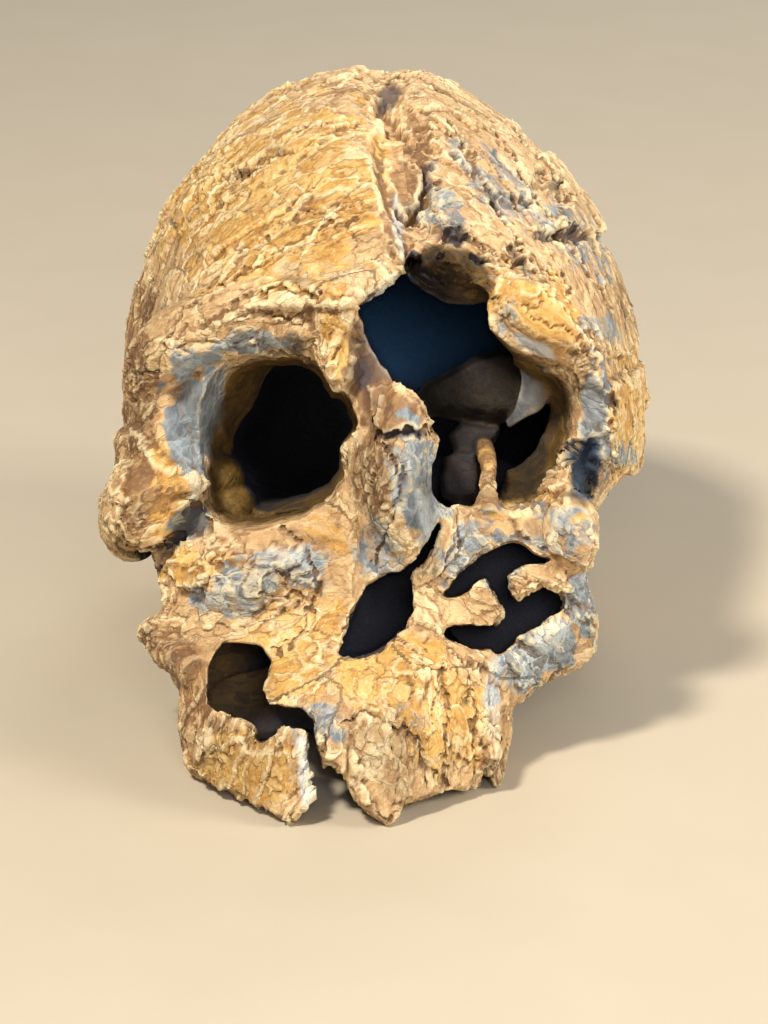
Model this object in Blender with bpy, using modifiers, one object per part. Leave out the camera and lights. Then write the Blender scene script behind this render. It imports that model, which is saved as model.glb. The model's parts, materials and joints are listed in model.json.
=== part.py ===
"""A fossil hominin cranium, life size, lying at rest on its tooth sockets and its skull base.

Every length is in millimetres until it becomes a mesh in metres. The bones are worked in the
skull's own frame: across runs to the skull's left, up runs up the face, and depth runs back
from the nasal opening. Outlines on the face are given as they line up when the face is seen
from SIGHT in front, so a place farther back is spread a little to lie on the same line.
"""

import math

import bmesh
import bpy
import numpy as np
from mathutils import Matrix, Vector, noise

MM = 0.001
SIGHT = 900.0
REST_PITCH = math.radians(20.0)
VOXEL = 1.15
FACE_VOXEL = 2.0
TRIANGLES = 7200
SMOOTHING_ROUNDS = 3
SUTURE_GAP = 0.34
# Larger than the skull, for the blocks of space that part it into bones.
ALL_AROUND = 1000.0
REST_LEVEL = -60.4
ROUGHNESS_HEIGHT = 1.1
ROUGHNESS_SIZE = 6.0

# Sections of the braincase, front to back:
# depth, reach to the right, reach to the left, crown, base.
BRAINCASE = (
    (8.0, 40.0, 34.0, 43.0, 12.0),
    (20.0, 49.0, 44.0, 61.0, 0.0),
    (35.0, 50.0, 47.0, 79.0, -8.0),
    (55.0, 55.0, 53.0, 95.5, -15.0),
    (80.0, 61.5, 59.0, 105.5, -22.0),
    (105.0, 62.0, 62.5, 104.5, -24.0),
    (130.0, 54.0, 56.0, 91.0, -15.5),
    (148.0, 39.0, 42.0, 69.0, 1.0),
    (160.0, 14.0, 16.0, 40.0, 20.0),
)
BRAINCASE_WAIST = 27.0
WAIST_MARGIN = 3.0
BRAINCASE_MIDDLE = Vector((0.0, 84.0, 40.0))
CROWN_ROUNDNESS_RIGHT = 2.05
CROWN_ROUNDNESS_LEFT = 1.8
BASE_ROUNDNESS = 2.4
BRAINCASE_SIDES = 56
BRAINCASE_RINGS = 30
WALL_SHARE = 0.13
HOLLOW_SET_BACK = 4.0

# The outer edge of the face, clockwise from the right brow: across, up.
FACE_EDGE = (
    (-54, 25), (-49, 36), (-37, 42.5), (-20, 46), (5, 48), (23.5, 51), (36, 46), (44.5, 37),
    (47, 22), (46.5, 8), (44, 2), (46.5, -8.3), (43.5, -13.5), (45.5, -22), (44.5, -30.5),
    (33, -38), (28.5, -42), (27, -52), (25.5, -60), (18, -60.5), (12, -61), (4, -64),
    (0.5, -68), (-4, -65.5), (-7, -62), (-9, -56), (-13, -53.5), (-15.5, -60), (-18, -65.5),
    (-20.5, -66.5), (-27, -63.5), (-36, -59.5), (-41.5, -55.5), (-44.5, -48.5), (-44.5, -38),
    (-48, -33.5), (-53, -27.5), (-52.5, -24), (-48, -22.5), (-48, -17), (-50.5, -9),
    (-55, -1), (-57.5, 8), (-56, 16.5),
)
FACE_THICKNESS = 12.0
FACE_LEVEL = 5.0

# Holes through the face: the same clockwise outlines, across and up.
RIGHT_ORBIT = (
    (-39.7, 7.5), (-40.3, 14.5), (-39.5, 19), (-36.5, 27), (-33, 32.5), (-28, 34.2), (-20.5, 34.5),
    (-15.5, 33.5), (-12.6, 30.5), (-10.2, 25.8), (-7, 24), (-5.5, 18), (-9, 14), (-8.8, 7.5),
    (-11.5, 3), (-17.6, -0.5), (-23, -2.5), (-28, -4.6), (-35.5, -4.5), (-38.6, -1.5),
)
FRONTAL_GAP = (
    (6.1, 57), (10.4, 55.7), (13.5, 54.3), (18.9, 49.8), (22.8, 47.2), (23.3, 39.6), (28, 34),
    (29, 24), (27, 10), (24.6, 1.7), (19.3, 0.9), (15.9, 1.5), (13.9, 0.2), (11.7, 2),
    (10.2, 4.8), (10.4, 8.7), (11.7, 15.7), (8.9, 22.6), (6.3, 26.3), (2.4, 27.8),
    (-1.1, 32.8), (-4.1, 37.8), (-6.1, 44.8), (0.4, 48.5), (3.9, 52), (4.8, 54.8),
)
LEFT_ORBIT = (
    (22.5, 40.2), (28.3, 35.7), (35.2, 33.5), (40.4, 31.3), (43.4, 27.6), (44.4, 22.2),
    (43, 15.7), (40.9, 12), (40.7, 7.4), (36.7, 4.6), (34.3, 1.5), (31.3, 0.2), (27.4, 0.4),
    (23.5, 1.7), (21, 20),
)
NASAL_OPENING = (
    (12, -0.5), (14, -0.8), (12.4, -5.3), (10.9, -8.3), (9.3, -10.9), (6.4, -13.3), (6.9, -17.8),
    (7.2, -21.7), (5.4, -25.2), (2, -28.8), (-2, -31.3), (-6.5, -32.8), (-11.5, -32.8),
    (-9.8, -27.8), (-7, -21.7), (-4.1, -15.3), (-0.7, -13.3), (3.4, -12.6), (5.4, -10.9),
    (7.8, -8.3), (10.4, -4.3),
)
SINUS_OPENING = (
    (11.7, -18.5), (14.3, -16.7), (16.3, -13.3), (20.4, -9.8), (25.4, -7.3), (27.8, -6.3),
    (30, -6.9), (33, -9.1), (37.3, -10.3), (35, -11.3), (30.4, -11.9), (26.9, -13.8),
    (27.4, -16.7), (28.9, -19.4), (31.8, -17.4), (35.3, -15.3), (38, -17), (39.6, -19.8),
    (38.3, -22.3), (33.8, -25.3), (29.4, -27.3), (26.4, -30.3), (24.9, -31.7), (23.4, -29.8),
    (18.4, -29.6), (14.3, -27.8), (12.4, -26.3), (14.5, -24.9), (19.9, -24.8), (24.4, -24.8),
    (25.9, -21.7), (24.9, -19.4), (22.8, -16.7), (22.4, -14.1), (20.4, -14.8), (18.4, -17.3),
    (15.4, -18.3),
)
CANINE_GAP = (
    (-38.5, -34), (-35, -28), (-27, -29), (-24, -33), (-26, -38), (-25, -42), (-18, -42.5),
    (-15.3, -45.5), (-13.8, -52), (-13, -61), (-16.4, -61), (-16.8, -48), (-18.3, -47),
    (-22, -47), (-26, -50), (-27.6, -50.3), (-28.6, -46.5), (-32, -45), (-36, -43.5), (-38, -42),
)
CHEEK_CRACK = (
    (-36.5, -4.8), (-42.5, -6.8), (-47, -10.3), (-49, -14.3), (-54, -12), (-53, -7.5),
    (-47, -4.3), (-43, 1.6), (-40, 0),
)
ORBIT_PLATE = (
    (29, 36), (33.3, 34.5), (34.8, 30.7), (36.1, 26.1), (34.8, 22.6), (31.3, 20.7),
    (26.9, 18.1), (26.3, 19.6), (28.9, 23.1), (29.8, 28.6),
)

# The broken right half of the forehead stands proud of the rest up to this edge.
FOREHEAD_EDGE = (
    (-6, 44), (0.4, 48.5), (4.8, 52), (4.9, 57), (4.4, 60.5), (0.4, 65), (-1.6, 73), (-2.4, 80),
    (-1, 87), (-2, 92), (-2, 140),
)
FOREHEAD_FAR_SIDE = ((-90, 140), (-90, 44))
FOREHEAD_STEP = 3.4
# Each pair tells from where to where a change runs.
FOREHEAD_CLIFF = (-0.6, 1.6)
FOREHEAD_FADE = (6.0, 30.0)
FOREHEAD_TOP = (74.0, 90.0)
VAULT_FRONT_ENDS = (95.0, 112.0)
FISSURE = ((0.2, 92), (1.6, 84), (5.5, 78), (8, 71), (8.6, 66), (7.8, 60), (8.2, 53))
FISSURE_SIDE = (1.19, 3.4)
FISSURE_DEPTH = 5.0
# The cosine of the slope between the skin of the braincase and straight outward.
OUTER_FACING = (0.1, 0.5)

BONE = (0.62, 0.45, 0.25, 1.0)
GREY_BONE = (0.47, 0.44, 0.39, 1.0)
GREY_BONES = ("nasal", "skull_base", "maxilla_left")
BONE_ROUGHNESS = 0.85

# One landmark for each bone: a point of the skull belongs to the nearest, across, depth, up.
LANDMARKS = {
    "frontal_right": (-24, 34, 66),
    "frontal_left": (34, 38, 66),
    "parietal_right": (-24, 104, 66),
    "parietal_left": (34, 104, 66),
    "occipital": (0, 158, 16),
    "temporal_right": (-62, 88, -4),
    "temporal_left": (62, 88, -4),
    "skull_base": (0, 62, -2),
    "zygomatic_right": (-58, 22, 4),
    "zygomatic_left": (55, 22, 2),
    "nasal": (3, -6, 5),
    "maxilla_right": (-30, 8, -18),
    "maxilla_left": (30, 8, -20),
    "tooth_sockets_right": (-34, 10, -56),
    "tooth_sockets_left": (12, 6, -56),
}


def clear_scene():
    for thing in list(bpy.data.objects):
        bpy.data.objects.remove(thing, do_unlink=True)


def collection(name):
    group = bpy.data.collections.new(name)
    bpy.context.scene.collection.children.link(group)
    return group


def seen(across, depth, up):
    """The point at that depth on the line of sight through (across, up) on the face."""
    spread = 1.0 + depth / SIGHT
    return Vector((across * spread, depth, up * spread))


def smooth_step(value, low, high):
    share = np.clip((value - low) / (high - low), 0.0, 1.0)
    return share * share * (3.0 - 2.0 * share)


def object_from(bm, name):
    """An object holding the bmesh, with its lengths turned from millimetres to metres."""
    bmesh.ops.recalc_face_normals(bm, faces=bm.faces)
    bmesh.ops.scale(bm, vec=(MM, MM, MM), verts=bm.verts)
    mesh = bpy.data.meshes.new(name)
    bm.to_mesh(mesh)
    bm.free()
    made = bpy.data.objects.new(name, mesh)
    bpy.context.scene.collection.objects.link(made)
    return made


def applied(thing):
    """Turns the object's modifiers into its mesh."""
    graph = bpy.context.evaluated_depsgraph_get()
    graph.update()
    mesh = bpy.data.meshes.new_from_object(thing.evaluated_get(graph))
    thing.modifiers.clear()
    thing.data = mesh
    return thing


def stack(name, rings):
    """A closed body through rings of as many points each, front ring first."""
    bm = bmesh.new()
    loops = [[bm.verts.new(point) for point in ring] for ring in rings]
    count = len(loops[0])
    for near, far in zip(loops, loops[1:]):
        for i in range(count):
            bm.faces.new((near[i], near[i - 1], far[i - 1], far[i]))
    bm.faces.new(loops[0])
    bm.faces.new(tuple(reversed(loops[-1])))
    return object_from(bm, name)


def prism(name, outline, stations):
    """An outline carried along the lines of sight. A station is (depth, share, (across, up)):
    at that depth the outline is shrunk to that share about the point."""
    rings = []
    for depth, share, (middle_across, middle_up) in stations:
        rings.append([
            seen(
                middle_across + (across - middle_across) * share,
                depth,
                middle_up + (up - middle_up) * share,
            )
            for across, up in outline
        ])
    return stack(name, rings)


def rounded(outline, steps=3):
    """A closed smooth curve through the outline's points."""
    points = [Vector(point) for point in outline]
    count = len(points)
    smooth = []
    for i in range(count):
        a, b, c, d = (points[(i + k) % count] for k in (-1, 0, 1, 2))
        for step in range(steps):
            t = step / steps
            smooth.append(
                0.5 * (2 * b + (c - a) * t + (2 * a - 5 * b + 4 * c - d) * t * t
                       + (3 * b - a - 3 * c + d) * t ** 3)
            )
    return [tuple(point) for point in smooth]


def lump(name, centre, radii):
    """An ellipsoid."""
    bm = bmesh.new()
    bmesh.ops.create_icosphere(bm, subdivisions=3, radius=1.0)
    placed = Matrix.Translation(seen(*centre)) @ Matrix.Diagonal((*radii, 1.0))
    bmesh.ops.transform(bm, matrix=placed, verts=bm.verts)
    return object_from(bm, name)


def bar(name, places):
    """A rounded bar of bone through (across, depth, up, radius) places."""
    curve = bpy.data.curves.new(name, "CURVE")
    curve.dimensions = "3D"
    curve.bevel_depth = MM
    curve.bevel_resolution = 3
    curve.resolution_u = 4
    curve.use_fill_caps = True
    spline = curve.splines.new("BEZIER")
    spline.bezier_points.add(len(places) - 1)
    for knot, (across, depth, up, radius) in zip(spline.bezier_points, places):
        knot.co = seen(across, depth, up) * MM
        knot.radius = radius
        knot.handle_left_type = knot.handle_right_type = "AUTO"
    made = bpy.data.objects.new(name, curve)
    bpy.context.scene.collection.objects.link(made)
    graph = bpy.context.evaluated_depsgraph_get()
    mesh = bpy.data.meshes.new_from_object(made.evaluated_get(graph))
    bpy.data.objects.remove(made)
    bm = bmesh.new()
    bm.from_mesh(mesh)
    bmesh.ops.remove_doubles(bm, verts=bm.verts, dist=0.00001)
    bmesh.ops.scale(bm, vec=(1 / MM, 1 / MM, 1 / MM), verts=bm.verts)
    return object_from(bm, name)


def combined(name, things, operation="UNION", target=None):
    """One Boolean of the target, or of the first thing, with all the others."""
    group = collection(name + "_pieces")
    base = target or things[0]
    for thing in things if target else things[1:]:
        bpy.context.scene.collection.objects.unlink(thing)
        group.objects.link(thing)
    cut = base.modifiers.new(name, "BOOLEAN")
    cut.operation = operation
    cut.operand_type = "COLLECTION"
    cut.collection = group
    cut.solver = "EXACT"
    applied(base)
    for thing in list(group.objects):
        bpy.data.objects.remove(thing)
    bpy.data.collections.remove(group)
    return base


def voxelled(thing, size):
    remesh = thing.modifiers.new("voxels", "REMESH")
    remesh.mode = "VOXEL"
    remesh.voxel_size = size * MM
    remesh.adaptivity = 0.0
    return applied(thing)


def points_of(thing):
    co = np.empty(len(thing.data.vertices) * 3)
    thing.data.vertices.foreach_get("co", co)
    return co.reshape(-1, 3) / MM


def set_points(thing, points):
    thing.data.vertices.foreach_set("co", (points * MM).ravel())
    thing.data.update()


def line_of_sight(points):
    """Across and up on the face for each point, as they line up from in front."""
    spread = 1.0 + points[:, 1] / SIGHT
    return points[:, 0] / spread, points[:, 2] / spread


def edge_distance(across, up, line, closed=True):
    """Distance from each place to the line, negative outside a closed one."""
    ends = np.array(line, float)
    starts = ends if closed else ends[:-1]
    stops = np.roll(ends, -1, axis=0) if closed else ends[1:]
    nearest = np.full(len(across), 1e9)
    inside = np.zeros(len(across), bool)
    for (ax, ay), (bx, by) in zip(starts, stops):
        run = np.array((bx - ax, by - ay))
        share = ((across - ax) * run[0] + (up - ay) * run[1]) / (run @ run)
        share = np.clip(share, 0.0, 1.0)
        gap = np.hypot(across - ax - share * run[0], up - ay - share * run[1])
        nearest = np.minimum(nearest, gap)
        crosses = (ay > up) != (by > up)
        level = by - ay if by != ay else 1e-9
        inside ^= crosses & (across < (bx - ax) * (up - ay) / level + ax)
    return np.where(inside, nearest, -nearest) if closed else nearest


def section_at(depth):
    """Reaches right and left, crown and base of the braincase at a depth."""
    table = np.array(BRAINCASE)
    i = int(np.clip(np.searchsorted(table[:, 0], depth) - 1, 0, len(table) - 2))
    span = table[i + 1, 0] - table[i, 0]
    t = (depth - table[i, 0]) / span
    before, after = max(i - 1, 0), min(i + 2, len(table) - 1)
    slope_in = (table[i + 1] - table[before]) / (table[i + 1, 0] - table[before, 0]) * span
    slope_out = (table[after] - table[i]) / (table[after, 0] - table[i, 0]) * span
    row = (
        (2 * t ** 3 - 3 * t * t + 1) * table[i]
        + (t ** 3 - 2 * t * t + t) * slope_in
        + (3 * t * t - 2 * t ** 3) * table[i + 1]
        + (t ** 3 - t * t) * slope_out
    )
    return row[1:]


def braincase(name, share=1.0, shift=0.0):
    """The braincase as a loft of its sections, shrunk about its middle and moved back."""
    front, back = BRAINCASE[0][0], BRAINCASE[-1][0]
    rings = []
    for turn in np.linspace(0.0, math.pi, BRAINCASE_RINGS):
        depth = front + (back - front) * (1 - math.cos(turn)) / 2
        right, left, crown, base = section_at(depth)
        waist = min(max(BRAINCASE_WAIST, base + WAIST_MARGIN), crown - WAIST_MARGIN)
        ring = []
        for angle in np.linspace(0.0, 2 * math.pi, BRAINCASE_SIDES, endpoint=False):
            side, rise = math.cos(angle), math.sin(angle)
            if rise < 0:
                power = 2.0 / BASE_ROUNDNESS
            elif side < 0:
                power = 2.0 / CROWN_ROUNDNESS_RIGHT
            else:
                power = 2.0 / CROWN_ROUNDNESS_LEFT
            reach = left if side > 0 else right
            height = crown - waist if rise > 0 else waist - base
            across = math.copysign(abs(side) ** power, side) * reach
            up = waist + math.copysign(abs(rise) ** power, rise) * height
            place = Vector((across, depth, up))
            place = BRAINCASE_MIDDLE + (place - BRAINCASE_MIDDLE) * share
            ring.append(place + Vector((0.0, shift, 0.0)))
        rings.append(ring)
    return stack(name, rings)


def face_depth(across, up):
    """Depth of the front of the face at each place."""
    level = FACE_LEVEL + 0.0055 * across ** 2
    nose = -9.0 * np.exp(-(((across - 3) / 9) ** 2) - ((up - 8) / 19) ** 2)
    brow = -3.0 * np.exp(-(((up - 41) / 7) ** 2))
    jaw = -13.0 + 24.0 * ((across + 8) / 34) ** 2
    lower = smooth_step(-up, 20.0, 52.0)
    return (level + nose + brow) * (1 - lower) + jaw * lower


def face():
    """The front of the skull: a plate cut to the face's edge and bent to the face's relief."""
    plate = prism("face", FACE_EDGE, [(0, 1, (0, 0)), (FACE_THICKNESS, 1, (0, 0))])
    voxelled(plate, FACE_VOXEL)
    points = points_of(plate)
    across, up = line_of_sight(points)
    points[:, 1] += face_depth(across, up)
    spread = 1.0 + points[:, 1] / SIGHT
    points[:, 0], points[:, 2] = across * spread, up * spread
    set_points(plate, points)
    return plate


def solid_forms():
    """Everything that stands behind and on the plate of the face."""
    return [
        face(),
        braincase("braincase"),
        bar("brow_right", [(-53, 20, 24, 5), (-47, 12, 35, 8), (-34, 6, 41.5, 8),
                           (-20, 4, 43, 8), (-9, 4, 44, 7), (0, 8, 50, 5)]),
        bar("brow_spur", [(-12, 5, 42, 6), (-11, 2.5, 35, 4.6), (-10.2, 1.5, 28.6, 2.4)]),
        bar("brow_left", [(23.5, 12, 47, 4), (31, 9, 43.5, 6.5), (40, 11, 37, 6.5),
                          (45.5, 17, 26, 4.5), (46, 20, 12, 4)]),
        bar("orbit_side_right", [(-50, 17, 28, 6), (-47.5, 18, 15, 7), (-47, 17, 4, 7)]),
        lump("cheek_right", (-50, 18, 3), (8.5, 8, 11)),
        lump("cheek_left", (41, 14, -4), (6, 8, 10)),
        bar("nasal_bridge", [(4, 16, 31, 5), (5, 3, 24, 5.5), (3, -1, 12, 6.5),
                             (3, -1, 2, 6.5), (6, 1, -7, 5)]),
        lump("maxilla_body_right", (-28, 24, -14), (17, 18, 13)),
        lump("maxilla_body_left", (27, 26, -16), (18, 20, 19)),
        lump("skull_centre", (0, 62, -4), (25, 26, 21)),
        lump("palate", (-7, 28, -40), (32, 31, 8)),
        lump("socket_back_right", (-27, 36, -42), (13, 9, 8)),
        lump("nasal_back_wall", (-3, 50, -26), (17, 10, 16)),
        bar("socket_row_right", [(-34, 6, -53, 6.5), (-37, 20, -48, 6.5), (-37, 44, -42, 6)]),
        bar("socket_row_left", [(18, 3, -52, 6.5), (20, 20, -48, 6.5), (21, 46, -42, 6)]),
        bar("pterygoid_right", [(-37, 42, -41, 6), (-29, 50, -28, 9), (-20, 58, -10, 9)]),
        bar("pterygoid_left", [(21, 44, -41, 6), (22, 50, -28, 9), (19, 58, -10, 9)]),
        bar("mastoid_right", [(-40, 88, -4, 12), (-39.5, 89, -17, 10), (-39, 90, -26, 6.5)]),
        bar("mastoid_left", [(36, 88, -4, 12), (35.5, 89, -17, 10), (35, 90, -26, 6.5)]),
        lump("temporal_bulge_right", (-55, 62, -1.5), (7.5, 17, 9.5)),
        bar("cheek_root_right", [(-49, 34, -28, 3.4), (-47, 20, -30, 4.2), (-41, 12, -35, 4)]),
    ]


def hollows():
    """What is broken away or open. Each hole runs in along the line of sight."""
    here = (0, 0)
    return [
        braincase("brain_hollow", 1.0 - WALL_SHARE, HOLLOW_SET_BACK),
        prism("right_orbit", rounded(RIGHT_ORBIT), [
            (-30, 1, here), (9, 1, here), (34, 0.74, (-14, 15)), (60, 0.5, (-12, 14))]),
        prism("frontal_gap", FRONTAL_GAP, [(-30, 1, here), (50, 1, here)]),
        prism("left_orbit", LEFT_ORBIT, [
            (-30, 1, here), (14, 1, here), (34, 0.72, (25, 18)), (60, 0.5, (22, 16))]),
        prism("nasal_opening", NASAL_OPENING, [(-30, 1, here), (42, 0.85, (0, -20))]),
        prism("sinus_opening", SINUS_OPENING, [(-30, 1, here), (34, 1, here)]),
        prism("canine_gap", CANINE_GAP, [(-40, 1, here), (30, 1, here)]),
        prism("cheek_crack", CHEEK_CRACK, [(-20, 1, here), (20, 1, here)]),
        lump("temporal_hollow_left", (61, 92, -6), (20, 60, 18)),
        lump("foramen_magnum", (0, 92, -22), (13, 15, 16)),
    ]


def inner_bones():
    """Thin bones left standing inside the openings."""
    here = (0, 0)
    return [
        bar("orbit_strut", [(21, 26, 15.5, 3), (22.6, 19, 12, 2.2), (22.4, 13, 6, 2),
                            (22.2, 9, -1, 3)]),
        prism("orbit_plate", ORBIT_PLATE, [(27, 1, here), (31, 1, here), (48, 0.9, (33, 33))]),
    ]


def carve_forehead(skull):
    """Lifts the right half of the forehead to its broken edge and sinks the fissure beside it."""
    points = points_of(skull)
    across, up = line_of_sight(points)
    normals = np.empty(len(points) * 3)
    skull.data.vertices.foreach_get("normal", normals)
    normals = normals.reshape(-1, 3)
    outward = points - np.array(BRAINCASE_MIDDLE)
    outward /= np.linalg.norm(outward, axis=1)[:, None]
    facing = (normals * outward).sum(1)
    outer = smooth_step(facing, *OUTER_FACING)
    outer *= 1 - smooth_step(points[:, 1], *VAULT_FRONT_ENDS)
    from_edge = edge_distance(across, up, FOREHEAD_EDGE, closed=False)
    within = edge_distance(across, up, FOREHEAD_EDGE + FOREHEAD_FAR_SIDE)
    raised = smooth_step(within, *FOREHEAD_CLIFF)
    raised *= 1 - smooth_step(from_edge, *FOREHEAD_FADE)
    raised *= 1 - smooth_step(up, *FOREHEAD_TOP)
    from_fissure = edge_distance(across, up, FISSURE, closed=False)
    sunk = 1 - smooth_step(from_fissure, *FISSURE_SIDE)
    lift = FOREHEAD_STEP * raised - FISSURE_DEPTH * sunk * (1 - raised)
    set_points(skull, points + outward * (lift * outer)[:, None])


def roughen(skull, height, size):
    """Gives the bone the uneven surface of a fossil."""
    points = points_of(skull)
    normals = np.empty(len(points) * 3)
    skull.data.vertices.foreach_get("normal", normals)
    rise = np.array([noise.noise(Vector(point) / size) for point in points])
    set_points(skull, points + normals.reshape(-1, 3) * (rise * height)[:, None])


def whole_skull():
    skull = combined("skull", solid_forms())
    combined("hollows", hollows(), "DIFFERENCE", skull)
    combined("inner_bones", inner_bones(), "UNION", skull)
    voxelled(skull, VOXEL)
    carve_forehead(skull)
    roughen(skull, ROUGHNESS_HEIGHT, ROUGHNESS_SIZE)
    voxelled(skull, VOXEL)
    soften = skull.modifiers.new("soften", "SMOOTH")
    soften.factor = 0.5
    soften.iterations = SMOOTHING_ROUNDS
    applied(skull)
    keep_largest(skull)
    thin = skull.modifiers.new("thin", "DECIMATE")
    thin.ratio = TRIANGLES / (2 * len(skull.data.polygons))
    return applied(skull)


def keep_largest(thing):
    """Drops every closed surface but the largest."""
    bm = bmesh.new()
    bm.from_mesh(thing.data)
    bm.verts.ensure_lookup_table()
    seen_already, islands = set(), []
    for start in bm.verts:
        if start in seen_already:
            continue
        island, edge_of_search = [], [start]
        seen_already.add(start)
        while edge_of_search:
            vert = edge_of_search.pop()
            island.append(vert)
            for link in vert.link_edges:
                other = link.other_vert(vert)
                if other not in seen_already:
                    seen_already.add(other)
                    edge_of_search.append(other)
        islands.append(island)
    islands.sort(key=len)
    print(thing.name, "closed surfaces:", [len(island) for island in islands][-6:])
    bmesh.ops.delete(bm, geom=[v for island in islands[:-1] for v in island], context="VERTS")
    bm.to_mesh(thing.data)
    bm.free()


def rest_on_floor(skull):
    """Leans the skull back onto its base and trims the tips that touch to one level."""
    turn = Matrix.Rotation(-REST_PITCH, 4, "X")
    skull.data.transform(turn)
    points = points_of(skull)
    low, high = points.min(0), points.max(0)
    middle = (low + high) / 2
    print("lowest point", round(low[2], 2), "trimmed at", REST_LEVEL, "middle", middle.round(2))
    size = (high - low).max() * 2
    bm = bmesh.new()
    bmesh.ops.create_cube(bm, size=size)
    centre = Vector((middle[0], middle[1], REST_LEVEL - size / 2))
    bmesh.ops.translate(bm, vec=centre, verts=bm.verts)
    combined("rest_level", [object_from(bm, "rest_level")], "DIFFERENCE", skull)
    keep_largest(skull)
    shift = Vector((-middle[0], -middle[1], -REST_LEVEL)) * MM
    skull.data.transform(Matrix.Translation(shift))
    return Matrix.Translation(shift) @ turn


def bone_region(name, to_world):
    """The block of space nearer to this bone's landmark than to any other, less half a suture."""
    own = to_world @ (Vector(LANDMARKS[name]) * MM) / MM
    bm = bmesh.new()
    bmesh.ops.create_cube(bm, size=ALL_AROUND)
    for other_name, place in LANDMARKS.items():
        if other_name == name:
            continue
        other = to_world @ (Vector(place) * MM) / MM
        away = (other - own).normalized()
        border = (own + other) / 2 - away * SUTURE_GAP / 2
        everything = bm.verts[:] + bm.edges[:] + bm.faces[:]
        cut = bmesh.ops.bisect_plane(
            bm, geom=everything, dist=0.0001, plane_co=border, plane_no=away, clear_outer=True
        )
        rim = [part for part in cut["geom_cut"] if isinstance(part, bmesh.types.BMEdge)]
        if rim:
            bmesh.ops.edgeloop_fill(bm, edges=rim)
    return object_from(bm, name + "_region")


def bone_material(name, colour):
    material = bpy.data.materials.new(name)
    material.use_nodes = True
    shader = material.node_tree.nodes["Principled BSDF"]
    shader.inputs["Base Color"].default_value = colour
    shader.inputs["Roughness"].default_value = BONE_ROUGHNESS
    shader.inputs["Metallic"].default_value = 0.0
    return material


def part_of(skull, region, solver):
    bone = skull.copy()
    bone.data = skull.data.copy()
    bpy.context.scene.collection.objects.link(bone)
    cut = bone.modifiers.new("region", "BOOLEAN")
    cut.operation = "INTERSECT"
    cut.object = region
    cut.solver = solver
    return applied(bone)


def part_into_bones(skull, to_world):
    bones = collection("fossil_cranium")
    for name in LANDMARKS:
        region = bone_region(name, to_world)
        bone = part_of(skull, region, "EXACT")
        if not bone.data.polygons:
            bpy.data.objects.remove(bone)
            bone = part_of(skull, region, "MANIFOLD")
        bpy.data.objects.remove(region)
        bone.name = name
        keep_largest(bone)
        bone.data.materials.clear()
        colour = GREY_BONE if name in GREY_BONES else BONE
        bone.data.materials.append(bone_material(name, colour))
        bpy.context.scene.collection.objects.unlink(bone)
        bones.objects.link(bone)
    bpy.data.objects.remove(skull)


def build():
    clear_scene()
    skull = whole_skull()
    to_world = rest_on_floor(skull)
    part_into_bones(skull, to_world)


build()
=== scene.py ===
# %% [markdown]
# # A fossil hominin cranium, pieced together from cracked bone
#
# The real thing is a skull that was crushed in the ground, split into hundreds of chips and put
# together again. What makes it look real is not one texture but three layers of form: the
# braincase and face, the broken pieces that stand higher or lower than their neighbours, and the
# small flakes on each piece. This lesson builds the three layers in that order, then colours them.
#
# The CAD solids in model.glb are loaded first. They fix where the skull lies.

# %% Load the frame
import json
import math
from types import SimpleNamespace

import bmesh
import bpy
import numpy as np
from mathutils import Matrix, Vector, noise

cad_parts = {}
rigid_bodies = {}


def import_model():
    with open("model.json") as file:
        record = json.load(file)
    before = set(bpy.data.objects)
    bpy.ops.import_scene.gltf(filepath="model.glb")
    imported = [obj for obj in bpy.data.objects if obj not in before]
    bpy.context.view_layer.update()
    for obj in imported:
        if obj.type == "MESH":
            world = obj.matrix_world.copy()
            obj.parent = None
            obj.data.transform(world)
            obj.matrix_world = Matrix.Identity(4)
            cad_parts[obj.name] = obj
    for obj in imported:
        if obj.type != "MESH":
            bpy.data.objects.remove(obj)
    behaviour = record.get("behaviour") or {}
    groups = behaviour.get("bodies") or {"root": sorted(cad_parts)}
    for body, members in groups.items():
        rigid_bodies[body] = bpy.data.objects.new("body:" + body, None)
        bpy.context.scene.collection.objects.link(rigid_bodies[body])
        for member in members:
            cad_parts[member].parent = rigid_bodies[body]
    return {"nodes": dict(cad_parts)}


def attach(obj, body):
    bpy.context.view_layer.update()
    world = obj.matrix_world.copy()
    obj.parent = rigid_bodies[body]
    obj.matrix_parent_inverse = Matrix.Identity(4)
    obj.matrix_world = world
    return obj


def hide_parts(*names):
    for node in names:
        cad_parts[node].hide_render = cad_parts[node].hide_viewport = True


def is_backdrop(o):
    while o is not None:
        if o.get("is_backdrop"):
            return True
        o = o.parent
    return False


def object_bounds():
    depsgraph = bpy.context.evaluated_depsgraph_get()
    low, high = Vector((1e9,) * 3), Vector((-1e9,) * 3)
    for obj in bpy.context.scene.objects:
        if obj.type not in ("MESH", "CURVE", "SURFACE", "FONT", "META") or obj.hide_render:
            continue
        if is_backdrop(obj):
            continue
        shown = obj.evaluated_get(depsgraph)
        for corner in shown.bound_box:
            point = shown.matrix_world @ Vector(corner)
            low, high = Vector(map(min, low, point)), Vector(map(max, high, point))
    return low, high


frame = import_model()
CAD_BOX = [list(corner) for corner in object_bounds()]
print("solids:", len(frame["nodes"]), "box in mm:", [round(v * 1000, 1) for v in CAD_BOX[1]])

# %% [markdown]
# ## The skull's own frame
#
# A face is easiest to shape when it is upright, so everything is worked in the skull's own frame
# in millimetres: across to the skull's left, depth towards the back, up to the crown. The real
# skull lies back on its base with its tooth sockets on the floor, so one matrix at the end leans
# it by the rest pitch and sets it down where the solids are.
#
# The camera looks straight along the depth axis. Outlines on the face are therefore given as
# they line up for an eye at SIGHT in front, and `seen` spreads them with depth.

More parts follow.
